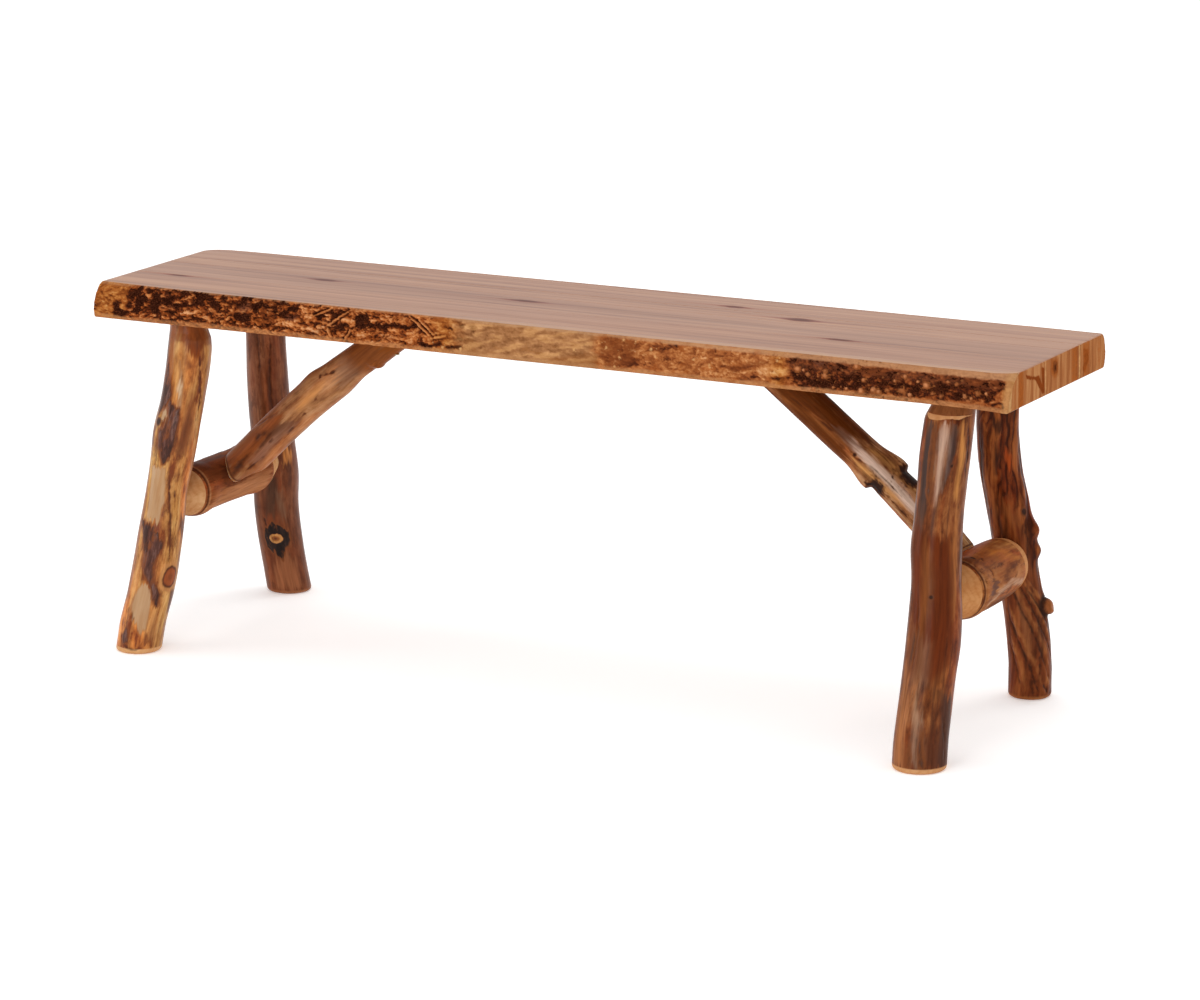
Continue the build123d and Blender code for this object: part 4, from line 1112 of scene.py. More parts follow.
def marks_rr(S):
    # deep flutes that wind round the log
    a, z = S.a, S.t
    tw = 0.30 * (z - 200) + 9 * fbm(z / 70, 0 * z, 0 * z, 81, 2)
    warp = 34 * fbm(S.cx / 24, S.cy / 24, z / 48, 82, 3)
    ph = np.radians(a * 1.0 - tw + warp)
    f1 = np.abs(np.sin(ph * 2.5 + 0.6))
    f2 = np.abs(np.sin(ph * 4.5 + 1.9))
    env = np.clip(0.62 + 0.75 * fbm(S.cx / 30, S.cy / 30, z / 70, 83, 2), 0.15, 1.1)
    S.h += env * (2.6 * (f1 ** 0.6 - 0.72) + 1.4 * (f2 ** 0.6 - 0.72)) * (0.45 + 0.55 * sstep(110, 170, z))
    g1 = sstep(0.50, 0.06, f1) * env
    g2 = sstep(0.42, 0.05, f2) * env * sstep(-0.15, 0.2, fbm(S.cx / 14, S.cy / 14, z / 55, 85, 2) + 0.06)
    groove = np.clip(np.maximum(g1 * 1.2, g2), 0, 1)
    # painted shade in the flute grooves, painted highlight along the ridges, and dark lines in the grooves as painted
    # shade
    S._paint(0.30 * groove * sstep(120, 180, z) * sstep(-0.2, 0.2, fbm(S.cx / 9, S.cy / 9, z / 26, 87, 3) + 0.12), (0.045, 0.012, 0.006))
    S._paint(0.60 * sstep(0.80, 0.97, f1) * sstep(-0.1, 0.25, fbm(S.cx / 12, S.cy / 12, z / 50, 86, 3) + 0.1) * (1 - groove), (0.320, 0.095, 0.025))
    S.crack_and_shade = np.maximum(S.crack_and_shade, 0.36 * sstep(110, 170, z) * sstep(0.16, 0.02, f1) * env * sstep(-0.1, 0.3, fbm(S.cx / 12, S.cy / 12, z / 40, 84, 3)))
    S.bump(338, -66, 2.2, 16, 7)
    S.add_paint([(362, -84), (344, -80), (330, -66), (332, -52), (346, -54), (352, -70)], (0.040, 0.012, 0.006), 0.75, 4)
    S.add_paint([(326, -74), (301, -64), (284, -84), (300, -84)], (0.045, 0.014, 0.007), 0.70, 4)
    S.add_paint([(400, -60), (372, -44), (366, -60), (390, -76)], (0.050, 0.015, 0.007), 0.6, 5)
    S.add_paint([(246, -98), (226, -92), (204, -84), (200, -96), (226, -104)], (0.040, 0.012, 0.006), 0.6, 4)
    S.add_paint([(318, -44), (300, -32), (290, -44), (304, -56)], (0.34, 0.060, 0.010), 0.85, 5)
    S.add_paint([(250, -70), (225, -52), (216, -60), (238, -76)], (0.33, 0.105, 0.030), 0.6, 5)
    S.add_paint([(150, -80), (90, -60), (60, -66), (100, -84)], (0.300, 0.140, 0.060), 0.45, 7)
    S.add_paint([(262, -90), (250, -30), (216, -20), (150, -10), (140, -70), (200, -84)], (0.235, 0.066, 0.018), 0.45, 12)
    S.knot(237, -23, 5.0, 4.4, "dark", 0.6)
    S.bump(213, 2, 8.4, 13, 11)
    S.bump(186, 12, 6.0, 10, 9)
    # slanting grooves, darkened as painted shade, with lighter ridges between them as painted highlight
    low = sstep(172, 150, S.t + 8 * S.wob)
    S._paint(0.45 * low, (0.150, 0.036, 0.011))
    for p, w in (([(156, -100), (110, -72), (62, -34), (26, -12)], 2.6), ([(160, -78), (116, -44), (78, -16), (48, 14)], 2.3),
                 ([(116, -122), (78, -98), (40, -66), (12, -46)], 2.8), ([(150, -60), (118, -24), (88, 8)], 2.0),
                 ([(70, -126), (40, -106), (10, -90)], 2.2), ([(20, -30), (8, -14)], 2.0)):
        S.line(p, w, 1.5, 0.85, wob=0.8)
        q = [(t + 9, b + 9) for t, b in p]
        S.line(q, w * 1.1, -0.7, 0.55, col=(0.330, 0.118, 0.036), wob=0.8)
    S.line([(224, -26), (212, -30), (199, -26)], 2.0, 0.6, 0.7)
    S.line([(190, -8), (182, -10), (174, -6)], 1.7, 0.5, 0.6)
    # a pruned twig, rounded over
    d = S.dist(116, 6, 10.5, 10.0, wob=0.4)
    S.h += 9.0 * np.clip(1 - d ** 2.6, 0, 1) ** 0.55 * sstep(1.04, 0.94, d) - 0.8 * np.exp(-(d / 0.40) ** 2) + 1.2 * sstep(1.9, 0.95, d)
    S._paint(0.90 * sstep(1.65, 1.12, d), (0.028, 0.011, 0.007))
    S._paint(0.95 * sstep(0.98, 0.82, d), (0.250, 0.078, 0.024))
    # lighter middle of the rounded stub: painted highlight
    S._paint(0.6 * sstep(0.75, 0.30, d), (0.340, 0.120, 0.038))
    S.crack_and_shade *= sstep(0.9, 1.6, d)
    S.add_paint([(112, -30), (84, -16), (64, -24), (88, -40)], (0.050, 0.017, 0.009), 0.6, 5)
    S.line([(58, -37), (40, -42)], 2.4, 0.8, 0.6)
    S.line([(30, -62), (6, -58)], 3.0, 0.6, 0.6)
    S.knot(270, 150, 10, 8, "worn", 2.4)
    S.knot(90, 120, 8, 7, "orange", 2.2)


def marks_rail_l(S):
    S.add_paint([(28, 12), (50, 20), (70, 6), (68, -14), (34, -6)], (0.205, 0.060, 0.020), 0.6, 6)
    S.add_paint([(-80, 75), (-20, 60), (-18, 16), (-72, 20)], (0.135, 0.036, 0.012), 0.62, 9)
    S.add_paint([(-82, 110), (-40, 96), (0, 92), (20, 70), (-30, 70), (-82, 74)], (0.150, 0.080, 0.066), 0.62, 7)
    S.add_paint([(-30, 55), (-18, 40), (-24, 16), (-38, 20)], (0.080, 0.022, 0.009), 0.72, 6)
    S.add_paint([(-60, -6), (70, 2), (78, -58), (-70, -60), (-74, -22)], (0.365, 0.150, 0.062), 0.80, 10)
    S.add_paint([(-80, 10), (-40, 2), (-30, -10), (-76, -20)], (0.27, 0.085, 0.026), 0.5, 7)
    S.line([(-60, -6), (-30, 0), (-6, -4)], 1.4, 0.3, 0.35)
    S.knot(-30, 150, 9, 8, "worn", 1.8)
    S.knot(48, -150, 7, 7, "dark", 1.4)
    S.add_bark([(40, 120), (10, 135), (-20, 118), (10, 105)], lift=0.5)
    S.add_bark([(60, -90), (20, -80), (-40, -96), (0, -110)], lift=0.5)


def marks_rail_r(S):
    S.knot(-57, 74, 4.0, 3.5, "dark", 0.9)
    S.line([(-40, 66), (-48, 58)], 1.8, 0.5, 0.6)
    S.line([(-53, 41), (-46, 32), (-50, 21)], 1.8, 0.5, 0.5)
    S.line([(-20, 30), (-10, 36), (-4, 30)], 2.0, 0.5, 0.5)
    S.add_paint([(-40, 70), (-10, 62), (0, 44), (-20, 40), (-44, 54)], (0.150, 0.040, 0.012), 0.5, 6)
    S.add_paint([(-56, 26), (-40, 12), (-42, -14), (-64, -20)], (0.125, 0.050, 0.030), 0.72, 6)
    # pale pinkish stripe along the underside: painted reflection of the floor
    S.add_paint([(66, -16), (10, 2), (-33, -7), (-62, -28), (-60, -37), (-30, -19), (10, -12), (62, -32)], (0.50, 0.30, 0.19), 0.55, 4)
    S.add_paint([(60, -40), (10, -24), (-40, -30), (-60, -52), (0, -60), (60, -60)], (0.14, 0.060, 0.036), 0.55, 7)
    S.add_paint([(-10, 75), (30, 60), (60, 20), (20, 30), (-20, 50)], (0.40, 0.135, 0.026), 0.55, 9)
    S.add_paint([(30, 90), (64, 70), (64, 40), (40, 60)], (0.48, 0.205, 0.062), 0.5, 8)
    S.bump(2, 58, 0.9, 9)
    S.knot(20, 150, 10, 9, "worn", 2.0)
    S.add_bark([(-20, -120), (-60, -135), (-40, -160), (0, -140)], lift=0.5)


def marks_brace_l(S):
    # upper side knuckle and the collar under the head
    S.h += 2.6 * np.exp(-((S.t - 201) / 16) ** 2) * sstep(-0.1, 0.9, np.cos(np.radians(S.a + 14)))
    low = sstep(0.15, 0.95, np.cos(np.radians(S.a + 168)))
    S.h += low * (1.6 * np.exp(-((S.t - 290) / 4.5) ** 2) + 2.0 * sstep(282, 292, S.t) - 5.0 * sstep(222, 268, S.t))
    S.add_paint([(14, -165), (14, 10), (96, 10), (142, -28), (150, -66), (128, -104), (90, -140), (60, -165)], (0.200, 0.054, 0.016), 0.50, 9)
    S.add_paint([(232, -140), (246, -60), (262, -20), (316, -20), (316, -150)], (0.215, 0.105, 0.058), 0.55, 9)
    S.add_paint([(80, -22), (140, -50), (200, -46), (235, -48), (300, -40), (300, -14), (200, -10), (90, -8)], (0.205, 0.066, 0.020), 0.62, 8)
    S.add_paint([(40, -66), (90, -58), (142, -62), (146, -84), (90, -94), (40, -100)], (0.230, 0.062, 0.016), 0.72, 8)
    S.add_paint([(222, -83), (190, -78), (166, -92), (172, -108), (205, -100)], (0.42, 0.170, 0.045), 0.65, 7)
    S.add_paint([(300, -90), (270, -84), (262, -96), (290, -120), (318, -130)], (0.19, 0.080, 0.040), 0.62, 8)
    S.add_paint([(262, -119), (280, -112), (276, -126), (264, -134)], (0.12, 0.058, 0.030), 0.6, 5)
    S.add_paint([(252, -128), (246, -76), (214, -68), (176, -74), (160, -96), (176, -132), (214, -140)], (0.490, 0.262, 0.125), 0.12, 9)
    S.add_paint([(118, -76), (106, -64), (88, -70), (82, -86), (98, -93), (112, -88)], (0.090, 0.025, 0.009), 0.30, 4)
    S.add_paint([(76, -92), (58, -89), (36, -99), (32, -112), (50, -112), (68, -105)], (0.090, 0.026, 0.010), 0.26, 4)
    S.add_paint([(36, -70), (28, -66), (12, -76), (14, -84), (28, -80)], (0.090, 0.026, 0.010), 0.26, 4)
    S.add_paint([(64, -112), (100, -104), (130, -110), (120, -132), (70, -136)], (0.250, 0.120, 0.075), 0.55, 6)
    S.add_paint([(120, -100), (150, -102), (160, -126), (140, -142), (116, -126)], (0.22, 0.100, 0.058), 0.6, 6)
    S.add_paint([(110, -86), (140, -92), (150, -112), (122, -112)], (0.110, 0.042, 0.020), 0.62, 5)
    for p, w, dk in (([(226, -66), (246, -80)], 2.6, 0.8), ([(222, -53), (219, -68)], 1.9, 0.7), ([(131, -135), (146, -130)], 2.4, 0.85),
                     ([(52, -122), (66, -128), (88, -133)], 2.2, 0.85), ([(48, -88), (64, -94), (76, -97)], 3.0, 0.65),
                     ([(78, -108), (92, -104), (110, -97), (124, -96)], 3.0, 0.65), ([(104, -112), (114, -111)], 2.4, 0.7),
                     ([(94, -30), (118, -46), (140, -60)], 2.2, 0.5), ([(206, -102), (196, -110)], 1.6, 0.40), ([(174, -123), (164, -121)], 1.4, 0.35),
                     ([(300, -128), (288, -124)], 1.6, 0.6), ([(60, -97), (48, -100), (36, -105)], 4.4, 0.85),
                     ([(113, -82), (101, -76), (90, -80)], 4.8, 0.85), ([(34, -74), (24, -78), (16, -80)], 3.6, 0.8)):
        S.line(p, w, 0.8, dk, wob=0.9)
    S.add_bark([(150, 120), (120, 140), (70, 130), (90, 108)], lift=0.5)
    S.knot(230, 100, 8, 7, "worn", 1.6)
    S.knot(120, 60, 6, 5, "dark", 1.0)
    S._paint(0.72 * sstep(258, 284, S.t + 8 * S.wob), (0.200, 0.050, 0.004))


def marks_brace_r(S):
    # two pruned stubs; each rises slowly and drops off short on the rail side
    for t0, a0, h, wa, back in ((166, -142, 6.4, 26, 46), (150, 22, 6.0, 30, 44)):
        x, _ = S.flat(a0)
        across = np.exp(-(np.abs(x) / (wa * 0.36)) ** 2.6)
        prof = sstep(t0 + back, t0 + 4, S.t) * sstep(t0 - 4.5, t0 + 0.5, S.t)
        S.h += h * across * prof ** 1.25
        d = S.dist(t0 - 5, a0, 11, 9)
        S.bark = np.maximum(S.bark, np.clip(1.25 - 0.60 * d, 0, 1) * sstep(t0 + 4, t0 - 2, S.t + 2 * S.wob2))
        S._paint(0.9 * sstep(1.5, 0.8, d) * sstep(t0 + 3, t0 - 2, S.t), (0.022, 0.010, 0.007))
        S.h -= 0.7 * np.exp(-(d / 0.9) ** 4)
    S.add_paint([(310, -30), (246, -26), (205, -26), (186, -34), (192, -8), (250, 0), (310, 0)], (0.075, 0.022, 0.009), 0.80, 7)
    S.add_paint([(310, -78), (268, -62), (244, -52), (236, -40), (270, -44), (310, -58)], (0.100, 0.032, 0.012), 0.72, 5)
    S.add_paint([(310, -118), (248, -96), (217, -80), (186, -62), (196, -56), (240, -78), (310, -102)], (0.33, 0.120, 0.036), 0.5, 5)
    # pale bluish streak along the front of the brace: painted highlight
    S.add_paint([(238, -62), (203, -76), (173, -82), (80, -84), (80, -58), (150, -52), (203, -54), (232, -56)], (0.560, 0.410, 0.330), 0.88, 5)
    S.add_paint([(200, -92), (170, -86), (130, -82), (112, -92), (150, -106), (190, -110)], (0.46, 0.220, 0.070), 0.65, 6)
    S.add_paint([(190, -44), (150, -40), (126, -30), (150, -18), (185, -26)], (0.38, 0.180, 0.055), 0.65, 6)
    S.add_paint([(310, -128), (240, -118), (200, -126), (200, -150), (310, -150)], (0.300, 0.105, 0.036), 0.6, 8)
    al = sstep(196, 222, S.t + 20 * S.fib + 8 * S.wob)
    S._paint(0.72 * al * sstep(-0.25, 0.15, fbm(S.cx / 8, S.cy / 8, S.t / 60, 92, 3) + 0.10), (0.072, 0.016, 0.003))
    S._paint(0.42 * al, (0.135, 0.036, 0.006))
    S.line([(200, -88), (182, -81), (162, -75), (142, -75), (116, -72)], 1.7, 1.0, 0.75)
    S.line([(150, -112), (120, -108), (100, -110)], 1.8, 0.7, 0.55)
    S.line([(309, -90), (260, -80), (230, -70)], 1.8, 0.6, 0.5)
    S.line([(300, -16), (250, -14), (210, -20)], 1.6, 0.6, 0.5)
    S.knot(200, -84, 2.4, 2.4, "dark", 0.3)
    # black patches painted in the scar under each stub
    for t0, a0, rt, ra in ((156, -118, 10, 9), (138, -6, 14, 11)):
        d = S.dist(t0, a0, rt, ra) * (1 + 1.1 * S.wob2) + 0.25 * S.fib
        S.bark *= sstep(0.8, 1.4, d)
        S._paint(0.60 * sstep(1.9, 1.0, d), (0.110, 0.038, 0.015))
        S._paint(0.92 * sstep(1.15, 0.60, d), (0.024, 0.011, 0.009))
        S.h -= 0.8 * sstep(1.1, 0.5, d)
    S.add_bark([(250, 120), (200, 140), (150, 130), (190, 108)], lift=0.5)
    S.knot(90, 120, 7, 6, "worn", 1.6)


# ---------------------------------------------------------------------------
# Seat
# ---------------------------------------------------------------------------
SEAMS = (-116.0, -46.0, 26.0, 63.0)
HALF = 610.0
FRONT = [(-610, -144, -144, -128), (-575, -144.5, -143, -130.5), (-500, -144, -141, -134.5),
         (-380, -142.5, -139, -136.5), (-250, -140.5, -139.5, -137), (-120, -141, -138.5, -138),
         (0, -140.5, -140.5, -139), (130, -139.5, -141, -139), (270, -140.5, -140, -138),
         (400, -141.5, -139, -137), (510, -140.5, -140.5, -138), (560, -142, -141, -137.5),
         (592, -146, -142, -134.5), (604, -148.5, -142.5, -128), (610, -149, -142.5, -122)]
REAR = [(-610, 110, 112, 108), (-605, 120, 122, 118), (-597, 127, 130, 125), (-585, 131.5, 135, 129.5),
        (-565, 134, 138, 132), (-520, 135.5, 139.5, 133.5), (-380, 137, 140.5, 135), (-180, 136.5, 140, 136.5),
        (40, 138, 141.5, 138), (260, 139, 142, 138.5), (450, 139, 142.5, 138.5), (570, 141, 144.5, 138.5),
        (610, 141.5, 145, 137)]


def x_rows(step):
    """Places along the seat, with the rounded end edges and the end faces: (x, inset, scale of the section)."""
    r = 2.2
    left = [(-HALF, r, k) for k in np.linspace(0.03, 1.0, 26)]
    left += [(-HALF + r * (1 - math.cos(a)), r * (1 - math.sin(a)), 1.0) for a in np.radians([20, 40, 60, 75])]
    n = int((2 * HALF - 2 * r) / step)
    mid = [(x, 0.0, 1.0) for x in np.linspace(-HALF + r, HALF - r, n)]
    right = [(-x, i, k) for x, i, k in left[::-1]]
    return np.array(left + mid + right)


def over(P, al, col):
    """Lays a tint over a painted grid."""
    for k in range(3):
        P[..., k] += (col[k] - P[..., k]) * al
    P[..., 3] = al + P[..., 3] * (1 - al)


def over_tint(P, al, col):
    """The same, for a grid that may still be bare."""
    a = P[..., 3]
    out = al + a * (1 - al)
    for k in range(3):
        P[..., k] = np.where(out > 1e-6, (col[k] * al + P[..., k] * a * (1 - al)) / np.maximum(out, 1e-6), col[k])
    P[..., 3] = out


def section(points, per):
    """Resamples a closed outline at each side's own step in mm, keeping its corners; per is not used."""
    out = []
    for (a, b, step) in points:
        a, b = np.array(a, float), np.array(b, float)
        n = max(1, int(round(np.linalg.norm(b - a) / step)))
        for k in range(n):
            out.append(a + (b - a) * k / n)
    return np.array(out)


def build_stave(name, node, y0, y1, mat, seed, knots=(), lines=(), live=None):
    """A stave from y0 to y1. live: None, 'front' or 'rear'. The sanded flats have mat, the edges and ends the duller m_edge."""
    g = 0.35                      # eased edge at each glue line
    rows = x_rows(1.05 if live == "front" else (2.2 if live else 5.0))
    X = rows[:, 0]
    nx = len(X)
    if live is None:
        pts = [((y0, SEAT_T - g), (y0 + g, SEAT_T), 1), ((y0 + g, SEAT_T), (y1 - g, SEAT_T), 1.5), ((y1 - g, SEAT_T), (y1, SEAT_T - g), 1),
               ((y1, SEAT_T - g), (y1, SEAT_U + g), 2.5), ((y1, SEAT_U + g), (y1 - g, SEAT_U), 1), ((y1 - g, SEAT_U), (y0 + g, SEAT_U), 2.5),
               ((y0 + g, SEAT_U), (y0, SEAT_U + g), 1), ((y0, SEAT_U + g), (y0, SEAT_T - g), 2.5)]
        sec = section(pts, 3)
        nu = len(sec)
        Y = np.repeat(sec[None, :, 0], nx, 0)
        Z = np.repeat(sec[None, :, 1], nx, 0)
        out = {k: np.zeros((nx, nu)) for k in ("live", "dark", "ltone", "crack_and_shade")}
        paint = np.zeros((nx, nu, 4))
    else:
        s = -1 if live == "front" else 1
        yi = y1 if live == "front" else y0        # the glue line
        tab = np.array(FRONT if live == "front" else REAR, float)
        yb, ym, yt = (hermite(tab[:, 0], tab[:, k], np.clip(X, -HALF, HALF)) for k in (1, 2, 3))
        wid = abs(yt.mean() - yi)
        nt = max(4, int(wid / 2.2))
        nf = 54 if live == "front" else 26
        nb = max(4, int(wid / 4.0))
        # outline from the glue line over the top, down the live face, back underneath and up the glue line
        ft = np.linspace(0, 1, nt, endpoint=False)
        ff = np.linspace(0, 1, nf)
        fb = np.linspace(0, 1, nb + 1)[1:]
        fi = np.linspace(0, 1, 7)[1:-1]
        nu = nt + nf + nb + len(fi)
        Y = np.zeros((nx, nu))
        Z = np.zeros((nx, nu))
        # height fraction down the face, with more points near the arrises
        zf = 0.5 - 0.5 * np.cos(np.pi * ff) * 0.25 - (ff - 0.5) * -0.75
        zf = (zf - zf[0]) / (zf[-1] - zf[0])
        zz = SEAT_T - 42.0 * zf
        Yt = yi + (yt[:, None] - yi) * ft[None, :]
        # curve of the face through top, middle and bottom
        u = zf[None, :]
        Lt = 2 * (u - 0.5) * (u - 1)
        Lm = 4 * u * (1 - u)
        Lb = 2 * u * (u - 0.5)
        Yf = yt[:, None] * Lt + ym[:, None] * Lm + yb[:, None] * Lb
        Y[:, :nt] = Yt
        Z[:, :nt] = SEAT_T
        Y[:, nt:nt + nf] = Yf
        Z[:, nt:nt + nf] = zz[None, :]
        Y[:, nt + nf:nt + nf + nb] = yb[:, None] + (yi - yb[:, None]) * fb[None, :]
        Z[:, nt + nf:nt + nf + nb] = SEAT_U
        Y[:, nt + nf + nb:] = yi
        Z[:, nt + nf + nb:] = SEAT_U + 42.0 * fi[None, :]
        out = {k: np.zeros((nx, nu)) for k in ("live", "dark", "ltone", "crack_and_shade")}
        paint = np.zeros((nx, nu, 4))
        XF = np.repeat(X[:, None], nf, 1)
        ZF = np.repeat(zz[None, :], nx, 0)
        h, F, P = live_front(XF, ZF, np.repeat(yt[:, None], nf, 1)) if live == "front" else live_rear(XF, ZF)
        for k, v in F.items():
            out[k][:, nt:nt + nf] = v
        paint[:, nt:nt + nf] = P
        # keep the arrises where they are, but uneven
        env = sstep(0.0, 0.07, zf) * sstep(1.0, 0.95, zf)
        Yn = Y.copy()
        Yn[:, nt:nt + nf] = Y[:, nt:nt + nf] + s * h * (0.35 + 0.65 * env[None, :])
        rt = 2.8
        # ease the two arrises
        down = (SEAT_T - zz)[None, :]
        up = (zz - SEAT_U)[None, :]
        Yn[:, nt:nt + nf] -= s * (rt * np.clip(1 - down / rt, 0, 1) ** 2 + 1.0 * np.clip(1 - up / 1.0, 0, 1) ** 2)
        # carry the top and bottom edge in with the face
        dt = Yn[:, nt] - Y[:, nt]
        Yn[:, :nt] += dt[:, None] * (ft[None, :] ** 3)
        db = Yn[:, nt + nf - 1] - Y[:, nt + nf - 1]
        Yn[:, nt + nf:nt + nf + nb] += db[:, None] * ((1 - fb[None, :]) ** 3)
        Y = Yn
        if live == "front":      # the top is a little yellower along the front arris
            rim = np.clip(1 - np.abs(yt[:, None] - Yt) / (13 + 13 * sstep(-160, 60, X))[:, None], 0, 1) ** 1.3 * (0.8 + 1.2 * fbm(X[:, None] / 40, Yt / 5, 0 * Yt, 305, 3))
            paint[:, :nt] = (0.500, 0.292, 0.160, 0)
            paint[:, :nt, 3] = np.clip(0.85 * rim, 0, 1)
        # the finish of the edge wraps a little over the arris
        out["live"][:, nt:nt + nf] = 1.0
        for i, j, a in ((nt - 1, nt, 0.45), (nt + nf, nt + nf - 1, 0.7)):
            for k in out:
                out[k][:, i] = out[k][:, j] * (a if k == "live" else 1.0)
            paint[:, i] = paint[:, j]
            paint[:, i, 3] *= a
    # end rounding and end faces
    inset, k = rows[:, 1][:, None], rows[:, 2][:, None]
    zc = (SEAT_T + SEAT_U) / 2
    Z2 = zc + (Z - zc) * (1 - inset / 21.0)
    if live == "front":
        Y2 = y1 + (Y - y1) * (1 - inset / abs(y1 - y0))
    elif live == "rear":
        Y2 = y0 + (Y - y0) * (1 - inset / abs(y1 - y0))
    else:
        Y2 = Y
    ycen = (Y2.max(1) + Y2.min(1))[:, None] / 2
    Y3 = ycen + (Y2 - ycen) * k
    Z3 = zc + (Z2 - zc) * k
    XX = np.repeat(X[:, None], nu, 1)
    end = np.where(rows[:, 1] > 1.2, 1.0, np.where(rows[:, 1] > 0.5, 0.6, 0.0))
    out["end"] = np.repeat(end[:, None], nu, 1)
    cap = (rows[:, 2] < 0.999)[:, None]
    flat_end = (rows[:, 1] > 2.0)[:, None]
    out["live"] = out["live"] * (1 - cap) * (1 - 0.999 * flat_end)
    out["dark"] = out["dark"] * (1 - cap)
    paint[..., 3] *= (1 - (cap | flat_end))
    # stains, bands and knots on the two ends
    em = (np.abs(XX) > HALF - 0.9) & (out["live"] < 0.5)
    wy = Y3 + 1.3 * fbm(Y3 / 7, Z3 / 11, XX / 50, 301, 3)
    wz = Z3 - SEAT_U + 2.4 * fbm(Y3 / 3, Z3 / 9, XX / 50, 302, 3)
    for (sx, pts, col, al, soft) in END_MARKS:
        P2 = np.array(pts, float)
        if P2[:, 0].max() < y0 - 12 or P2[:, 0].min() > y1 + 12:
            continue
        a = sstep(1.25 * soft, -1.25 * soft, poly_sdf(wy, wz, P2)) * min(1.0, 1.25 * al) * em * (np.sign(XX) == sx)
        over_tint(paint, a, col)
    # knots and darker lines on the flats
    wv = fbm(XX / 60, Y3 / 12, 0 * XX, seed, 3)
    topm = (np.abs(Z3 - SEAT_T) < 0.6) & (out["live"] < 0.3)
    botm = (np.abs(Z3 - SEAT_U) < 0.6) & (out["live"] < 0.3)
    tone = np.zeros((nx, nu))
    for (kx, ky, rx, ry, al, side) in knots:
        rx, ry = 1.25 * rx, 1.38 * ry
        m = topm if side > 0 else botm
        yy = Y3 - ky + 0.8 * wv
        xx = XX - kx
        dd = np.hypot(xx / rx, yy / ry) * (1 + 0.25 * fbm(XX / 6, Y3 / 2, 0 * XX, seed + 7, 2))
        over_tint(paint, 0.95 * al * sstep(1.35, 0.30, dd) * m, (0.150, 0.030, 0.011))
        over_tint(paint, 0.75 * al * sstep(0.75, 0.2, dd) * m, (0.075, 0.013, 0.004))
        # the grain runs out of the knot at both ends and flows round it
        tail = np.exp(-np.abs(xx) / (rx * 2.6)) * np.exp(-(yy / (ry * 0.50)) ** 2) * sstep(0.4, 1.0, np.abs(xx) / rx)
        over_tint(paint, 0.85 * al * tail * m, (0.205, 0.048, 0.026))
        for off in (1.5, 2.4, 3.6):
            path = ry * off * np.exp(-(xx / (rx * 2.2)) ** 2) + ry * 0.25 * off
            for sg in (-1, 1):
                tone -= 0.13 * al * np.exp(-((yy - sg * path) / 0.9) ** 2) * np.exp(-(xx / (rx * 4.5)) ** 2) * m
    for (ly, w, v, x0, x1) in lines:
        yy = Y3 - ly + 2.2 * fbm(XX / 210, 0 * XX + ly, 0 * XX, seed + 3, 2)
        tone += 1.45 * v * np.exp(-(yy / (1.75 * w)) ** 2) * (0.75 + 0.6 * wv) * sstep(x0 - 40, x0 + 40, XX) * sstep(x1 + 40, x1 - 40, XX) * (Z3 > 430)
    out["paint"] = paint
    out["tone"] = tone
    out["ekey"] = np.full((nx, nu), 0.017 * (seed % 7))
    V = np.stack([XX, Y3, Z3], -1)
    F = {kk: with_ends(v) for kk, v in out.items()}
    F["gc"] = with_ends(V) * 0.001
    q, t = tube_faces(nx, nu)
    if live != "front":
        q, t = q[:, ::-1], t[:, ::-1]
    edge = np.concatenate([(F["live"][q].mean(1) > 0.5) | (F["end"][q].mean(1) > 0.5), np.ones(len(t), bool)])
    return mesh_object(name, with_ends(V), q, t, F, node, [mat, m_edge], edge.astype(int))


STAIN = (0.200, 0.044, 0.009)


BAND = (0.300, 0.078, 0.015)


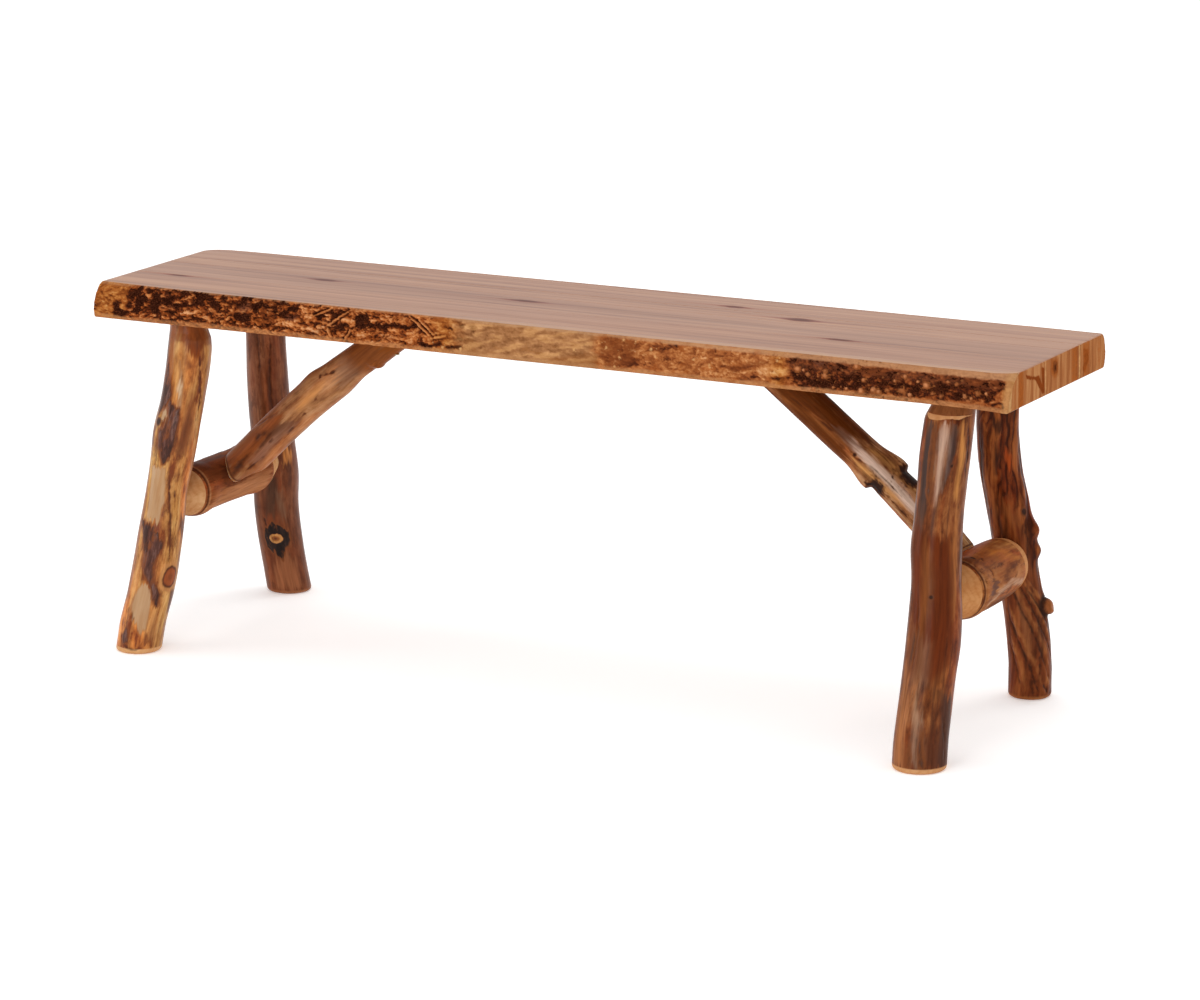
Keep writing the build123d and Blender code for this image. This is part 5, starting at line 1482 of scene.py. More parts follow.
END_MARKS = [
    (1, [(-152, 43), (-137, 43), (-139, -1), (-152, -1)], (0.480, 0.255, 0.105), 0.75, 3.0),
    (1, [(-121.3, 43), (-104.8, 43), (-102.7, -1), (-119.3, -1)], BAND, 0.55, 2.5),
    (1, [(-132, 43), (-126, 43), (-126, -1), (-133, -1)], BAND, 0.35, 2.0),
    (1, [(-98.3, 35.7), (-68.6, 27.9), (-58.8, 28.0), (-56.0, 23.1), (-70.9, 24.9), (-95.6, 30.4)], STAIN, 0.85, 1.6),
    (1, [(-70.9, 25.8), (-56.1, 24.0), (-40.3, 5.6), (-47.6, 4.1)], STAIN, 0.85, 1.6),
    (1, [(-51.8, 35.8), (-44.3, 34.4), (-40.3, 5.6), (-47.8, 7.0)], STAIN, 0.8, 1.4),
    (1, [(-42.5, 42.5), (-38.5, 42.5), (-37.0, -1), (-41.0, -1)], (0.48, 0.24, 0.10), 0.5, 0.9),
    (1, [(-24, 40), (-1, 38), (0, 18), (-14, 15), (-25, 26)], BAND, 0.5, 3.5),
    (1, [(-17.2, 36.2), (-4.6, 33.9), (-3.9, 22.2), (-13.8, 21.1), (-19.2, 28.9)], (0.190, 0.052, 0.014), 0.95, 1.8),
    (1, [(-13.5, 31.5), (-8, 31), (-8, 25), (-13, 25)], (0.070, 0.018, 0.006), 0.9, 1.4),
    (1, [(38, 43), (56, 43), (58, -1), (40, -1)], BAND, 0.50, 3.5),
    (1, [(60.0, 43), (64.4, 43), (66.4, -1), (62.0, -1)], (0.52, 0.27, 0.11), 0.55, 0.9),
    (1, [(73.8, 34.4), (89.4, 30.6), (90.2, 18.6), (80.6, 6.6), (71.3, 8.3), (78.7, 20.7)], STAIN, 0.85, 1.8),
    (1, [(72, 43), (92, 43), (94, -1), (76, -1)], BAND, 0.45, 4.0),
    (1, [(118, 43), (126, 43), (128, -1), (121, -1)], BAND, 0.35, 3.0),
    (-1, [(-104, 34), (-86, 30), (-84, 20), (-92, 8), (-100, 10), (-94, 22)], STAIN, 0.85, 1.8),
    (-1, [(-34, 37), (-22, 33), (-24, 20), (-33, 22)], (0.150, 0.040, 0.012), 0.9, 1.8),
    (-1, [(-60, 43), (-46, 43), (-44, -1), (-56, -1)], BAND, 0.5, 4.0),
    (-1, [(10, 43), (24, 43), (26, -1), (14, -1)], BAND, 0.5, 3.0),
    (-1, [(36, 30), (52, 26), (60, 14), (54, 6), (48, 18), (36, 24)], STAIN, 0.8, 1.8),
    (-1, [(96, 36), (106, 34), (108, 8), (100, 6)], STAIN, 0.7, 1.8),
    (-1, [(112, 43), (124, 43), (126, -1), (116, -1)], BAND, 0.45, 3.5),
]


EDGE = [
    ('black', [(-582.4, 24.6), (-573.0, 24.5), (-571.2, 14.9), (-561.9, 12.1), (-566.3, 4.6), (-583.0, 1.3)]),
    ('black', [(-551.8, 43.4), (-545.5, 43.0), (-547.9, 33.0), (-554.1, 33.3)]),
    ('black', [(-549.0, 29.3), (-537.5, 32.1), (-539.9, 19.5), (-545.3, 11.8), (-553.6, 12.9), (-551.3, 20.2)]),
    ('black', [(-528.2, 34.7), (-517.8, 36.6), (-513.9, 25.3), (-518.3, 14.3), (-525.6, 11.8), (-528.5, 22.3)]),
    ('black', [(-511.7, 34.4), (-499.3, 36.4), (-495.3, 28.8), (-485.1, 26.1), (-493.4, 21.8), (-505.7, 26.1), (-513.9, 27.1)]),
    ('black', [(-470.4, 41.6), (-451.9, 44.1), (-450.0, 38.1), (-456.4, 28.7), (-472.8, 27.2), (-468.6, 32.0), (-458.3, 34.7), (-468.4, 37.4)]),
    ('black', [(-452.1, 36.2), (-439.8, 37.3), (-433.8, 32.5), (-440.0, 28.4), (-450.2, 29.3)]),
    ('black', [(-431.6, 40.6), (-421.4, 42.4), (-420.5, 39.0), (-426.6, 36.3)]),
    ('black', [(-403.1, 42.3), (-384.9, 43.9), (-387.0, 41.1), (-401.2, 38.0)]),
    ('black', [(-410.6, 24.0), (-403.5, 22.8), (-389.3, 22.4), (-388.5, 15.4), (-397.7, 11.0), (-408.7, 15.3)]),
    ('black', [(-385.0, 36.8), (-373.8, 40.5), (-373.0, 32.6), (-379.2, 23.3), (-383.2, 28.2)]),
    ('black', [(-350.9, 25.8), (-342.8, 32.7), (-332.6, 38.0), (-322.6, 36.3), (-324.7, 32.6), (-334.8, 30.8), (-344.9, 23.7)]),
    ('black', [(-357.8, 35.8), (-351.8, 34.5), (-352.9, 27.4), (-356.9, 28.8)]),
    ('brown', [(-296.7, 32.5), (-282.7, 38.1), (-270.7, 36.6), (-282.8, 25.9), (-292.8, 25.0)]),
    ('brown', [(-272.7, 36.4), (-252.8, 39.9), (-258.9, 34.1), (-272.8, 29.4)]),
    ('brown', [(-275.0, 17.0), (-259.0, 23.7), (-251.1, 22.6), (-261.2, 11.2), (-273.1, 11.9)]),
    ('brown', [(-303.1, 9.1), (-297.1, 7.9), (-299.1, 4.2), (-303.1, 4.7)]),
    ('brown', [(-388.6, 9.2), (-382.6, 5.3), (-385.7, 2.9)]),
    ('brown', [(-377.4, 9.3), (-369.4, 8.3), (-373.5, 4.8)]),
    ('brown', [(-335.1, 10.6), (-328.1, 8.6), (-331.2, 5.1)]),
    ('brown', [(-360.3, 6.5), (-350.3, 5.7), (-353.4, 2.4)]),
    ('mauve', [(-338.9, 25.5), (-322.8, 25.7), (-324.9, 19.8), (-335.9, 19.8)]),
    ('mauve', [(-403.3, 36.1), (-389.0, 38.2), (-387.2, 27.8), (-401.5, 24.8)]),
    ('brown', [(-508.0, 15.2), (-485.4, 15.5), (-485.4, 12.3), (-506.0, 11.5)]),
    ('brown', [(-501.9, 10.1), (-481.4, 10.1), (-482.5, 7.2), (-500.0, 7.0)]),
    ('brown', [(-538.3, 42.7), (-530.0, 42.6), (-530.2, 36.3), (-536.4, 35.8)]),
    ('brown', [(-562.3, 35.3), (-555.1, 35.0), (-555.5, 18.1), (-561.7, 18.4)]),
    ('gold', [(-495.1, 39.4), (-487.9, 39.2), (-482.9, 34.3), (-468.4, 37.4), (-472.6, 33.5), (-485.0, 31.1)]),
    ('gold', [(-509.9, 22.5), (-501.7, 21.5), (-493.5, 20.1), (-495.6, 17.7), (-505.9, 19.0)]),
    ('gold', [(-483.3, 15.7), (-468.8, 22.3), (-450.3, 25.4), (-440.1, 24.0), (-452.5, 19.9), (-473.0, 15.2)]),
    ('gold', [(-464.9, 10.6), (-452.5, 16.3), (-434.1, 20.1), (-436.2, 16.7), (-452.6, 12.2)]),
    ('gold', [(-414.5, 32.4), (-410.4, 31.9), (-411.7, 22.1), (-414.7, 21.0)]),
    ('gold', [(-409.2, 45.3), (-405.1, 44.7), (-409.4, 35.6), (-413.4, 36.1)]),
    ('gold', [(-433.8, 33.4), (-423.6, 32.5), (-419.7, 26.7), (-425.9, 23.5), (-431.9, 28.2)]),
    ('red', [(-371.8, 43.3), (-352.6, 42.4), (-353.2, 9.8), (-371.4, 10.8)]),
    ('gold', [(-353.1, 18.6), (-331.0, 17.1), (-311.0, 15.4), (-299.0, 11.3), (-311.1, 6.6), (-335.1, 11.5), (-353.2, 9.8)]),
    ('gold', [(-320.5, 41.7), (-298.5, 41.9), (-298.8, 27.0), (-316.8, 25.4)]),
    ('splinter', [(-281.0, 17.8), (-250.9, 38.4)]),
    ('splinter', [(-279.0, 16.6), (-273.2, 5.8)]),
    ('splinter', [(-296.8, 29.0), (-274.7, 39.7)]),
    ('black', [(-239.1, 33.3), (-225.1, 39.8), (-223.3, 29.5), (-215.4, 26.8), (-207.5, 29.2), (-201.7, 24.5), (-211.6, 20.2), (-221.4, 21.0), (-237.3, 17.8), (-241.2, 24.4)]),
    ('brown', [(-260.8, 38.3), (-254.8, 38.0), (-255.9, 31.8), (-260.9, 29.6)]),
    ('brown', [(-261.0, 24.4), (-247.1, 22.1), (-249.2, 15.0), (-261.2, 12.1)]),
    ('black', [(-201.7, 25.4), (-185.9, 30.3), (-172.2, 29.0), (-158.5, 32.0), (-158.5, 27.6), (-182.0, 23.7), (-199.8, 21.2)]),
    ('black', [(-150.9, 8.7), (-135.3, 8.6), (-123.6, 13.0), (-119.7, 9.6), (-135.3, 4.7), (-150.9, 4.1)]),
    ('black', [(-115.8, 6.5), (-104.2, 9.6), (-94.5, 11.6), (-98.4, 7.2), (-112.0, 4.2)]),
    ('brown', [(-207.8, 4.8), (-198.0, 4.4), (-202.0, 1.6)]),
    ('brown', [(-176.4, 5.2), (-150.9, 8.4), (-143.1, 5.7), (-166.6, 1.4)]),
    ('knot', [(-117.0, 31.4), (-110.2, 33.3), (-103.6, 31.4), (-106.9, 28.7), (-113.7, 28.8)]),
    ('knot', [(-96.6, 36.2), (-90.4, 37.1), (-90.0, 34.1), (-95.3, 33.2)]),
    ('knot', [(-83.1, 34.5), (-75.9, 35.7), (-72.7, 33.3), (-78.9, 30.3), (-83.1, 31.6)]),
    ('spot', [(-119.7, 7.0)]),
    ('spot', [(-95.4, 7.5)]),
    ('spot', [(56.8, 20.9)]),
    ('splinter', [(-166.2, 39.9), (-135.2, 16.8)]),
    ('splinter', [(-152.6, 36.0), (-130.3, 18.6)]),
    ('splinter', [(-135.2, 15.9), (-117.7, 21.0)]),
    ('splinter', [(-255.4, 0.4), (-247.2, 16.9)]),
    ('brown', [(-197.5, 45.8), (-175.9, 44.6), (-174.0, 42.7), (-195.6, 43.2)]),
    ('brown', [(-115.7, 18.6), (-84.7, 21.5), (-84.7, 16.3), (-104.1, 16.2)]),
    ('brownS', [(-77.0, 20.5), (-57.7, 21.9), (-57.7, 17.9), (-75.1, 16.3)]),
    ('brownS', [(26.4, 12.9), (49.2, 14.2), (75.6, 14.2), (75.6, 8.2), (49.2, 8.3), (28.3, 8.8)]),
    ('red', [(92.6, 39.6), (122.6, 41.5), (139.4, 35.4), (137.6, 13.2), (122.6, 5.0), (100.1, 4.6), (90.7, 22.4)]),
    ('brown', [(148.7, 32.9), (167.3, 38.0), (191.4, 40.3), (189.6, 34.2), (171.0, 30.8), (152.4, 29.9)]),
    ('brown', [(122.6, 20.3), (139.4, 18.5), (137.6, 6.4), (118.9, 6.4)]),
    ('brown', [(178.5, 23.9), (193.3, 24.4), (189.6, 19.9), (178.5, 19.7)]),
    ('spot', [(99.2, 27.4)]),
    ('spot', [(117.0, 17.2)]),
    ('spot', [(110.4, 5.6)]),
    ('spot', [(121.6, 38.0)]),
    ('spot', [(137.5, 37.8)]),
    ('spot', [(158.0, 31.3)]),
    ('spot', [(163.6, 22.5)]),
    ('spot', [(212.7, 23.7)]),
    ('spot', [(233.9, 16.5)]),
    ('spot', [(319.6, 32.2)]),
    ('brown', [(255.8, 32.5), (277.7, 39.1), (305.1, 39.5), (306.9, 37.7), (281.4, 33.9), (259.5, 31.2)]),
    ('red', [(255.9, 19.4), (281.5, 26.9), (306.9, 31.0), (305.2, 26.6), (281.5, 20.2), (263.3, 11.7)]),
    ('brown', [(268.8, 7.6), (290.7, 11.9), (296.2, 9.9), (274.3, 4.1)]),
    ('brown', [(308.9, 12.4), (334.3, 16.5), (336.1, 12.9), (314.4, 9.6)]),
    ('gold', [(294.3, 19.7), (314.3, 25.0), (332.4, 25.1), (336.1, 17.9), (308.9, 14.4), (296.2, 14.1)]),
    ('brown', [(334.1, 38.2), (353.9, 39.6), (386.3, 40.5), (386.3, 35.2), (354.0, 35.5), (335.9, 34.6)]),
    ('dark', [(333.8, 38.3), (371.6, 37.0), (415.5, 36.3), (457.1, 34.5), (490.1, 34.8), (510.6, 34.8), (551.5, 36.8), (577.9, 36.5), (602.2, 35.0), (603.4, 27.5), (592.4, 20.7), (587.6, 7.8), (572.3, 11.1), (543.8, 9.2), (502.9, 7.1), (482.3, 7.0), (457.5, 8.5), (422.2, 6.9), (386.7, 4.8), (355.2, 3.3), (340.4, 4.8), (336.1, 19.0)]),
    ('black', [(339.2, 18.3), (357.1, 18.1), (357.2, 12.3), (342.5, 11.8)]),
    ('mauve', [(366.4, 35.5), (379.0, 35.7), (378.0, 31.8), (368.6, 31.5)]),
    ('black', [(383.2, 33.2), (403.1, 33.2), (402.1, 29.2), (386.4, 29.3)]),
    ('black', [(403.1, 29.3), (417.7, 28.8), (419.9, 19.3), (407.5, 16.2)]),
    ('black', [(359.3, 13.5), (403.3, 15.8), (401.3, 8.8), (363.6, 7.1)]),
    ('black', [(457.1, 33.5), (470.5, 33.8), (469.6, 29.9), (458.2, 29.2)]),
    ('black', [(440.7, 19.4), (473.8, 21.6), (469.8, 15.5), (444.9, 14.0)]),
    ('black', [(486.2, 20.3), (501.6, 20.5), (500.8, 11.3), (488.4, 11.5)]),
    ('black', [(506.6, 28.1), (528.2, 27.9), (527.3, 17.2), (510.9, 16.6)]),
    ('black', [(539.3, 35.1), (551.5, 35.5), (551.6, 31.1), (541.4, 31.1)]),
    ('black', [(542.6, 19.7), (552.8, 19.7), (552.0, 10.6), (543.8, 11.2)]),
    ('black', [(579.4, 14.1), (589.5, 14.3), (587.6, 7.8), (580.5, 8.5)]),
    ('black', [(551.8, 18.3), (563.0, 18.8), (562.1, 14.9), (552.9, 14.9)]),
    ('black', [(529.3, 23.2), (543.6, 22.6), (541.6, 17.7), (531.4, 17.6)]),
    ('red', [(415.5, 35.9), (457.1, 34.5), (455.1, 27.5), (421.9, 26.3)]),
    ('red', [(553.6, 35.1), (602.3, 34.7), (602.4, 28.4), (578.1, 27.0), (555.7, 26.7)]),
    ('squig', [(589.6, 7.4), (596.7, 11.2), (602.7, 10.7), (605.4, 1.0)]),
    ('knob18', [(345.5, 24.8)]),
    ('knob17', [(380.2, 25.2)]),
    ('knob17', [(380.2, 20.3)]),
    ('knob12', [(358.2, 20.2)]),
    ('knob18', [(426.3, 7.3)]),
    ('knob20', [(441.9, 9.8)]),
    ('knob20', [(477.0, 12.3)]),
    ('knob14', [(486.4, 8.4)]),
    ('knob20', [(506.8, 21.0)]),
    ('knob14', [(525.4, 11.3)]),
    ('knob18', [(554.0, 13.1)]),
    ('knob12', [(543.5, 26.5)]),
    ('knob10', [(390.8, 7.8)]),
    ('knob9', [(366.8, 4.4)]),
    ('knob14', [(448.1, 8.5)]),
    ('knob15', [(418.7, 34.7)]),
    ('knob14', [(479.9, 29.0)]),
    ('knob15', [(570.1, 18.5)]),
    ('knob12', [(580.3, 19.1)]),
    ('knob12', [(428.2, 20.1)]),
    ('knob10', [(352.9, 24.5)]),
    ('knob10', [(467.6, 23.0)]),
    ('knob9', [(496.4, 24.8)]),
    ('knob9', [(533.3, 28.4)]),
    ('knob10', [(562.1, 12.0)]),
    ('knob10', [(407.6, 8.4)]),
    ('knob10', [(458.5, 11.5)]),
    ('knob9', [(515.1, 13.1)]),
]



EDGE_RAMP = ((0.00, 0.007, 0.003, 0.002), (0.18, 0.022, 0.007, 0.004), (0.32, 0.095, 0.022, 0.006), (0.46, 0.205, 0.053, 0.011),
             (0.58, 0.285, 0.082, 0.017), (0.70, 0.395, 0.140, 0.032), (0.85, 0.530, 0.238, 0.070), (1.00, 0.640, 0.370, 0.160))


def live_front(x, z, yt):
    """Relief (mm, outwards), marks and colours of the chiselled front edge."""
    u, w0 = x, z - SEAT_U            # w: 0 bottom to 42 top
    w = w0 * (1 + 0.0063 * (yt + 140))
    o = 0 * u
    wx = fbm(u / 22, w / 13, o, 60, 3)
    wz = fbm(u / 22 + 9, w / 13 + 4, o, 61, 3)
    U = u + 5.5 * wx + 1.6 * fbm(u / 4, w / 3, o, 71, 2)
    W = w + 3.0 * wz + 1.2 * fbm(u / 4 + 5, w / 3, o, 72, 2)
    big = fbm(u / 48, w / 26, o, 62, 3)
    n1 = fbm(U / 13, W / 7.5, o, 63, 4)
    n2 = fbm(U / 5, W / 3.4, o, 64, 3)
    n3 = fbm(U / 2.2, W / 1.7, o, 68, 2)
    f1, f2, rid, ox, oy = voronoi(U / 10, W / 7.0, 66)
    facet = (rid - 0.5) * 1.5 + (ox * np.cos(rid * 17) + oy * np.sin(rid * 17)) * 2.6
    g1, g2, rid2, ox2, oy2 = voronoi(U / 4.6, W / 3.6, 67)
    facet2 = (rid2 - 0.5) * 0.8 + (ox2 * np.cos(rid2 * 19) + oy2 * np.sin(rid2 * 19)) * 1.1
    # strokes of the drawknife, laid in three directions

    def stroke(deg, seed):
        c, q = np.cos(np.radians(deg)), np.sin(np.radians(deg))
        return fbm((U * c + W * q) / 15, (W * c - U * q) / 3.4, o, seed, 3)
    sel = fbm(u / 24, w / 16, o, 80, 2)
    ga, gb = sstep(0.02, 0.14, sel), sstep(-0.02, -0.14, sel)
    st = stroke(36, 84) * ga + stroke(-30, 85) * gb + stroke(5, 86) * (1 - ga - gb)
    st = st + 0.45 * fbm((U + 0.8 * W) / 8, (W - 0.5 * U) / 1.9, o, 87, 2) * ga + 0.45 * fbm(U / 8, W / 1.8, o, 88, 2) * (1 - ga)
    # how broken the edge is along its length
    rough = np.interp(u, [-610, -572, -560, -180, -120, -70, 60, 95, 300, 330, 600, 606, 610],
                      [0.45, 0.55, 0.9, 0.85, 0.65, 0.20, 0.18, 0.45, 0.50, 0.75, 0.75, 0.3, 0.2])
    h = 0.9 * big + rough * (1.0 * n1 + 0.9 * st + 0.5 * n2 + 0.65 * facet + 0.55 * facet2 + 0.2 * n3)
    left = sstep(-566, -558, U) * sstep(-112, -150, U)
    Ub = U + 16 * fbm(u / 20, w / 9, o, 90, 3)
    mid = sstep(-118, -84, Ub) * sstep(96, 72, Ub)
    mott = sstep(76, 100, Ub) * sstep(325, 300, U)
    long = fbm((U + 0.5 * W) / 46, (W - 0.16 * U) / 6.5, o, 91, 3)
    right = sstep(322, 340, U) * sstep(606, 598, U)
    corner = sstep(-564, -570, U)
    # how light the wood is, 0 to 1, before the marks
    xs = [-610, -568, -560, -470, -380, -300, -240, -170, -120, -80, 60, 84, 100, 280, 305, 335, 596, 605, 610]
    v0 = [0.60, 0.58, 0.38, 0.41, 0.43, 0.54, 0.57, 0.595, 0.615, 0.66, 0.67, 0.65, 0.585, 0.585, 0.63, 0.64, 0.64, 0.66, 0.70]
    am = [0.54, 0.54, 0.85, 0.90, 0.90, 0.85, 0.80, 0.70, 0.55, 0.36, 0.30, 0.34, 0.38, 0.38, 0.38, 0.38, 0.36, 0.30, 0.20]
    amp = np.interp(U, xs, am)
    v = np.interp(U, xs, v0) + amp * (0.85 * n1 + (0.46 - 0.26 * left) * n2 + (0.14 - 0.05 * left) * n3 + (0.55 * (left + corner) + 0.30 * mid + 0.45 * mott) * st) + (0.34 * mid + 0.26 * mott) * long
    v -= 0.09 * left * sstep(18, 30, W + 3 * n1) * sstep(-180, -330, U)
    # thin rubbed ridges and thin dark cracks
    r1 = sstep(0.80, 1.0, 1 - np.abs(fbm(U / 12 + 3, W / 4.6, o, 74, 3)) * 2.6)
    r2 = sstep(0.84, 1.0, 1 - np.abs(fbm(U / 16 + 8, W / 5.2 + 2, o, 75, 3)) * 2.6)
    gate = sstep(-0.12, 0.22, fbm(u / 17, w / 12, o, 76, 2))
    v += (0.26 * left + 0.12 * mott + 0.10 * corner) * r1 * gate
    v -= (0.22 * left + 0.10 * mott + 0.10 * corner) * r2 * (1 - gate)
    # the underside arris is planed clean: a light strip along the bottom
    strip = sstep(6.8, 3.6, w + 2.6 * wx + 1.0 * n2) * (0.85 - 0.10 * left)
    jag = 1.5 * n2 + 0.5 * n3 + 1.2 * n1
    shift = {"dark": -0.36, "brownS": -0.10, "red": -0.10, "mauve": -0.06, "brown": -0.27, "black": -0.56, "knot": -0.40, "gold": 0.17}
    soft = {"dark": 2.4, "brownS": 4.0, "red": 4.0, "mauve": 2.5, "brown": 3.2, "black": 2.6, "knot": 2.0, "gold": 2.8}
    order = {"dark": 0, "brownS": 1, "red": 2, "mauve": 3, "brown": 4, "black": 5, "squig": 6, "knot": 6, "gold": 7, "splinter": 8, "knob": 9, "spot": 10}
    tints, knobs, pits = [], [], np.zeros(u.shape)
    for kind, pts in sorted(EDGE, key=lambda e: order[e[0].rstrip("0123456789")]):
        base = kind.rstrip("0123456789")
        p = np.array(pts, float)
        i = np.where((x[:, 0] > p[:, 0].min() - 14) & (x[:, 0] < p[:, 0].max() + 14))[0]
        if not len(i):
            continue
        sl = slice(i[0], i[-1] + 1)
        Us, Ws = U[sl], W[sl]
        if base in shift:
            d = poly_sdf(Us, Ws, p) + jag[sl] * (1.3 if base == "black" else 1.0)
            a = sstep(soft[base], -soft[base], d)
            dv = shift[base]
            if base == "black" and p[:, 0].min() > 330:
                dv = -0.20                      # these already lie in the dark band
            if base == "dark":
                v[sl] = v[sl] * (1 - a) + a * (0.235 + 0.10 * sstep(20, 31, Ws) + 0.80 * n1[sl] + 0.50 * n2[sl] + 0.12 * n3[sl])
            else:
                v[sl] += dv * a * (1 - 0.45 * mott[sl] * (dv < 0))
            if base == "red":
                tints.append((sl, 0.55 * a, (0.150, 0.036, 0.010)))
            elif base == "mauve":
                tints.append((sl, 0.50 * a, (0.135, 0.050, 0.028)))
        elif base in ("splinter", "squig"):
            d, f = line_dist(u[sl] + 0.35 * (Us - u[sl]), w[sl] + 0.35 * (Ws - w[sl]), p, True)
            tp = 0.4 + 0.6 * sstep(0, 0.3, f) * sstep(1, 0.7, f)
            if base == "splinter":
                # dark flanks beside each splinter: painted shadow; the light core is the splinter's own colour
                v[sl] -= 0.24 * np.exp(-((d - 2.4) / 1.3) ** 2) * tp
                k = 0.9 * np.exp(-(d / (1.5 * tp)) ** 2)
                v[sl] += (0.74 - v[sl]) * k
                h[sl] += 1.2 * np.exp(-(d / (1.5 * tp)) ** 2) - 0.5 * np.exp(-((d - 2.6) / 1.1) ** 2)
            else:
                v[sl] -= 0.36 * np.exp(-(d / 1.5) ** 2)
                h[sl] -= 0.5 * np.exp(-(d / 1.3) ** 2)
        else:
            cx, cw = p[0]
            rr = 0.20 * float(kind[4:]) if base == "knob" else 1.6
            hs = abs(np.sin(cx * 12.9 + cw)) if base == "knob" else 0.5
            d = np.hypot((u[sl] - cx + 1.1 * wx[sl] + 0.5 * n2[sl]) / (0.9 + 0.5 * hs), w[sl] - cw + 1.1 * wz[sl]) / (rr * (0.75 + 0.35 * hs)) * (1 + 1.5 * n2[sl] + 0.7 * n3[sl])
            knobs.append((base, sl, d, rr, cx, cw))
    # relief follows the colour: dark hollows, light ridges
    rel = np.clip(v, 0, 1) - 0.45
    h += 2.2 * rel * (left + 0.5 * mott + 0.8 * right)
    v += (0.66 - v) * 0.80 * strip
    # the planed strip under the top arris: narrow on the left, wider on the right
    lw = np.interp(u, [-610, -570, -560, -120, -60, 60, 330, 610], [38.0, 38.0, 40.0, 39.6, 38.5, 38.6, 35.5, 33.4])
    lip = sstep(0, 3.2, w0 - lw + 1.4 * wx + 1.0 * n2) * (1 - 0.5 * corner)
    v += (0.66 - v) * 0.72 * lip
    # the upper part of the dark band is smoother and redder
    upb = right * sstep(23, 29, W + 3 * n1) * (1 - lip)
    v += (0.40 + 0.25 * n1 - v) * 0.38 * upb
    v -= 0.05 * right * (1 - strip) * (1 - lip)
    # painted shade in the hollows of the relief and painted highlight on its ridges
    cav = np.clip((blur(h, 2, False) - h) / 1.0, -1, 1)
    v -= 0.14 * np.clip(cav, 0, 1) * (1 - mid)
    v += 0.09 * np.clip(-cav, 0, 1) * (1 - mid)
    v += 0.34 * left * (v - 0.47)
    v -= 0.35 * left * np.clip(v - 0.68, 0, 1)
    v = np.clip(v, 0.03, 0.97)
    er = np.array(EDGE_RAMP)
    P = np.ones(u.shape + (4,))
    for k in range(3):
        P[..., k] = np.interp(v, er[:, 0], er[:, k + 1])
    # the smooth stretch in the middle is paler and less red
    tan = np.stack([0.325 * (v / 0.66) ** 1.6, 0.158 * (v / 0.66) ** 1.9, 0.069 * (v / 0.66) ** 2.2], -1)
    for k in range(3):
        P[..., k] += (tan[..., k] - P[..., k]) * 0.78 * mid
    P[..., 0] *= 1 + 0.06 * mott - 0.08 * right
    P[..., 1] *= 1 + 0.12 * mott - 0.13 * left - 0.15 * right
    P[..., 2] *= 1 + 0.56 * mott - 0.02 * left + 0.10 * right
    over(P, 0.50 * mid * sstep(0.04, 0.26, fbm(u / 34, w / 9, o, 89, 3) - 0.008 * (w - 14) + 0.25 * n2), (0.250, 0.092, 0.026))
    over(P, 0.55 * sstep(3.5, -3.5, poly_sdf(U, W, np.array([(6, -2), (30, 9), (62, 14), (88, 17), (88, -2)], float)) + 2.0 * n2), (0.235, 0.078, 0.020))
    over(P, 0.45 * mid * sstep(0.02, 0.20, long), (0.480, 0.240, 0.088))
    over(P, 0.50 * strip, (0.440, 0.225, 0.098))
    over(P, 0.55 * lip, (0.470, 0.262, 0.135))
    over(P, 0.32 * upb, (0.190, 0.058, 0.024))
    # some hollows are greyish, some fibres redder
    over(P, 0.22 * (left + right) * sstep(0.05, 0.30, fbm(u / 26, w / 9, o, 77, 3)), (0.130, 0.044, 0.020))
    over(P, 0.32 * (left + corner + mott) * sstep(0.08, 0.34, fbm(u / 19, w / 10, o, 78, 3)), (0.330, 0.080, 0.014))
    for sl, a, col in tints:
        over(P[sl], a, col)
    # the planed arris round the right corner
    over(P, 0.60 * sstep(599, 606, u + 1.5 * wx), (0.450, 0.235, 0.098))
    dark = 0.80 * sstep(0.22, 0.05, v)
    # small unplaced knobs, so that no stretch of the band is bare
    s1, _, sid, _, _ = voronoi(u / 7.0 + 3, w / 6.0, 70, 1.0)
    inband = right * sstep(6, 10, w) * sstep(37, 33, w)
    sm = sstep(0.30, 0.12, s1 * (1 + 0.4 * n2)) * (sid > 0.93) * inband
    over(P, 0.55 * sm, (0.320, 0.110, 0.036))
    h += 0.55 * sm
    dark *= 1 - 0.8 * sm
    for base, sl, d, rr, cx, cw in knobs:
        if base == "knob":
            over(P[sl], 0.45 * np.exp(-((d - 1.35) / 0.30) ** 2), (0.035, 0.012, 0.007))
            # lighter spot up and to the left of each knob's middle: painted highlight
            knob_highlight = 0.12 + 0.88 * abs(np.sin(cx * 7.7 + 2.0 * cw)) ** 1.6
            over(P[sl], 0.85 * sstep(1.18, 0.60, d), (0.270, 0.082, 0.024))
            over(P[sl], 0.90 * knob_highlight * sstep(1.00, 0.25, np.hypot(u[sl] - cx + 0.2 * rr, w[sl] - cw - 0.25 * rr) / rr), (0.520, 0.205, 0.085))
            h[sl] += 1.0 * np.sqrt(np.clip(1 - (d / 1.2) ** 2, 0, 1))
            dark[sl] *= sstep(0.8, 1.3, d)
        else:
            over(P[sl], 0.85 * sstep(1.25, 0.5, d), (0.560, 0.300, 0.120))
            h[sl] += 0.6 * sstep(1.3, 0.4, d)
            dark[sl] *= sstep(0.8, 1.3, d)
    return h, {"dark": np.clip(dark, 0, 1), "ltone": np.zeros(u.shape), "crack_and_shade": np.zeros(x.shape)}, P


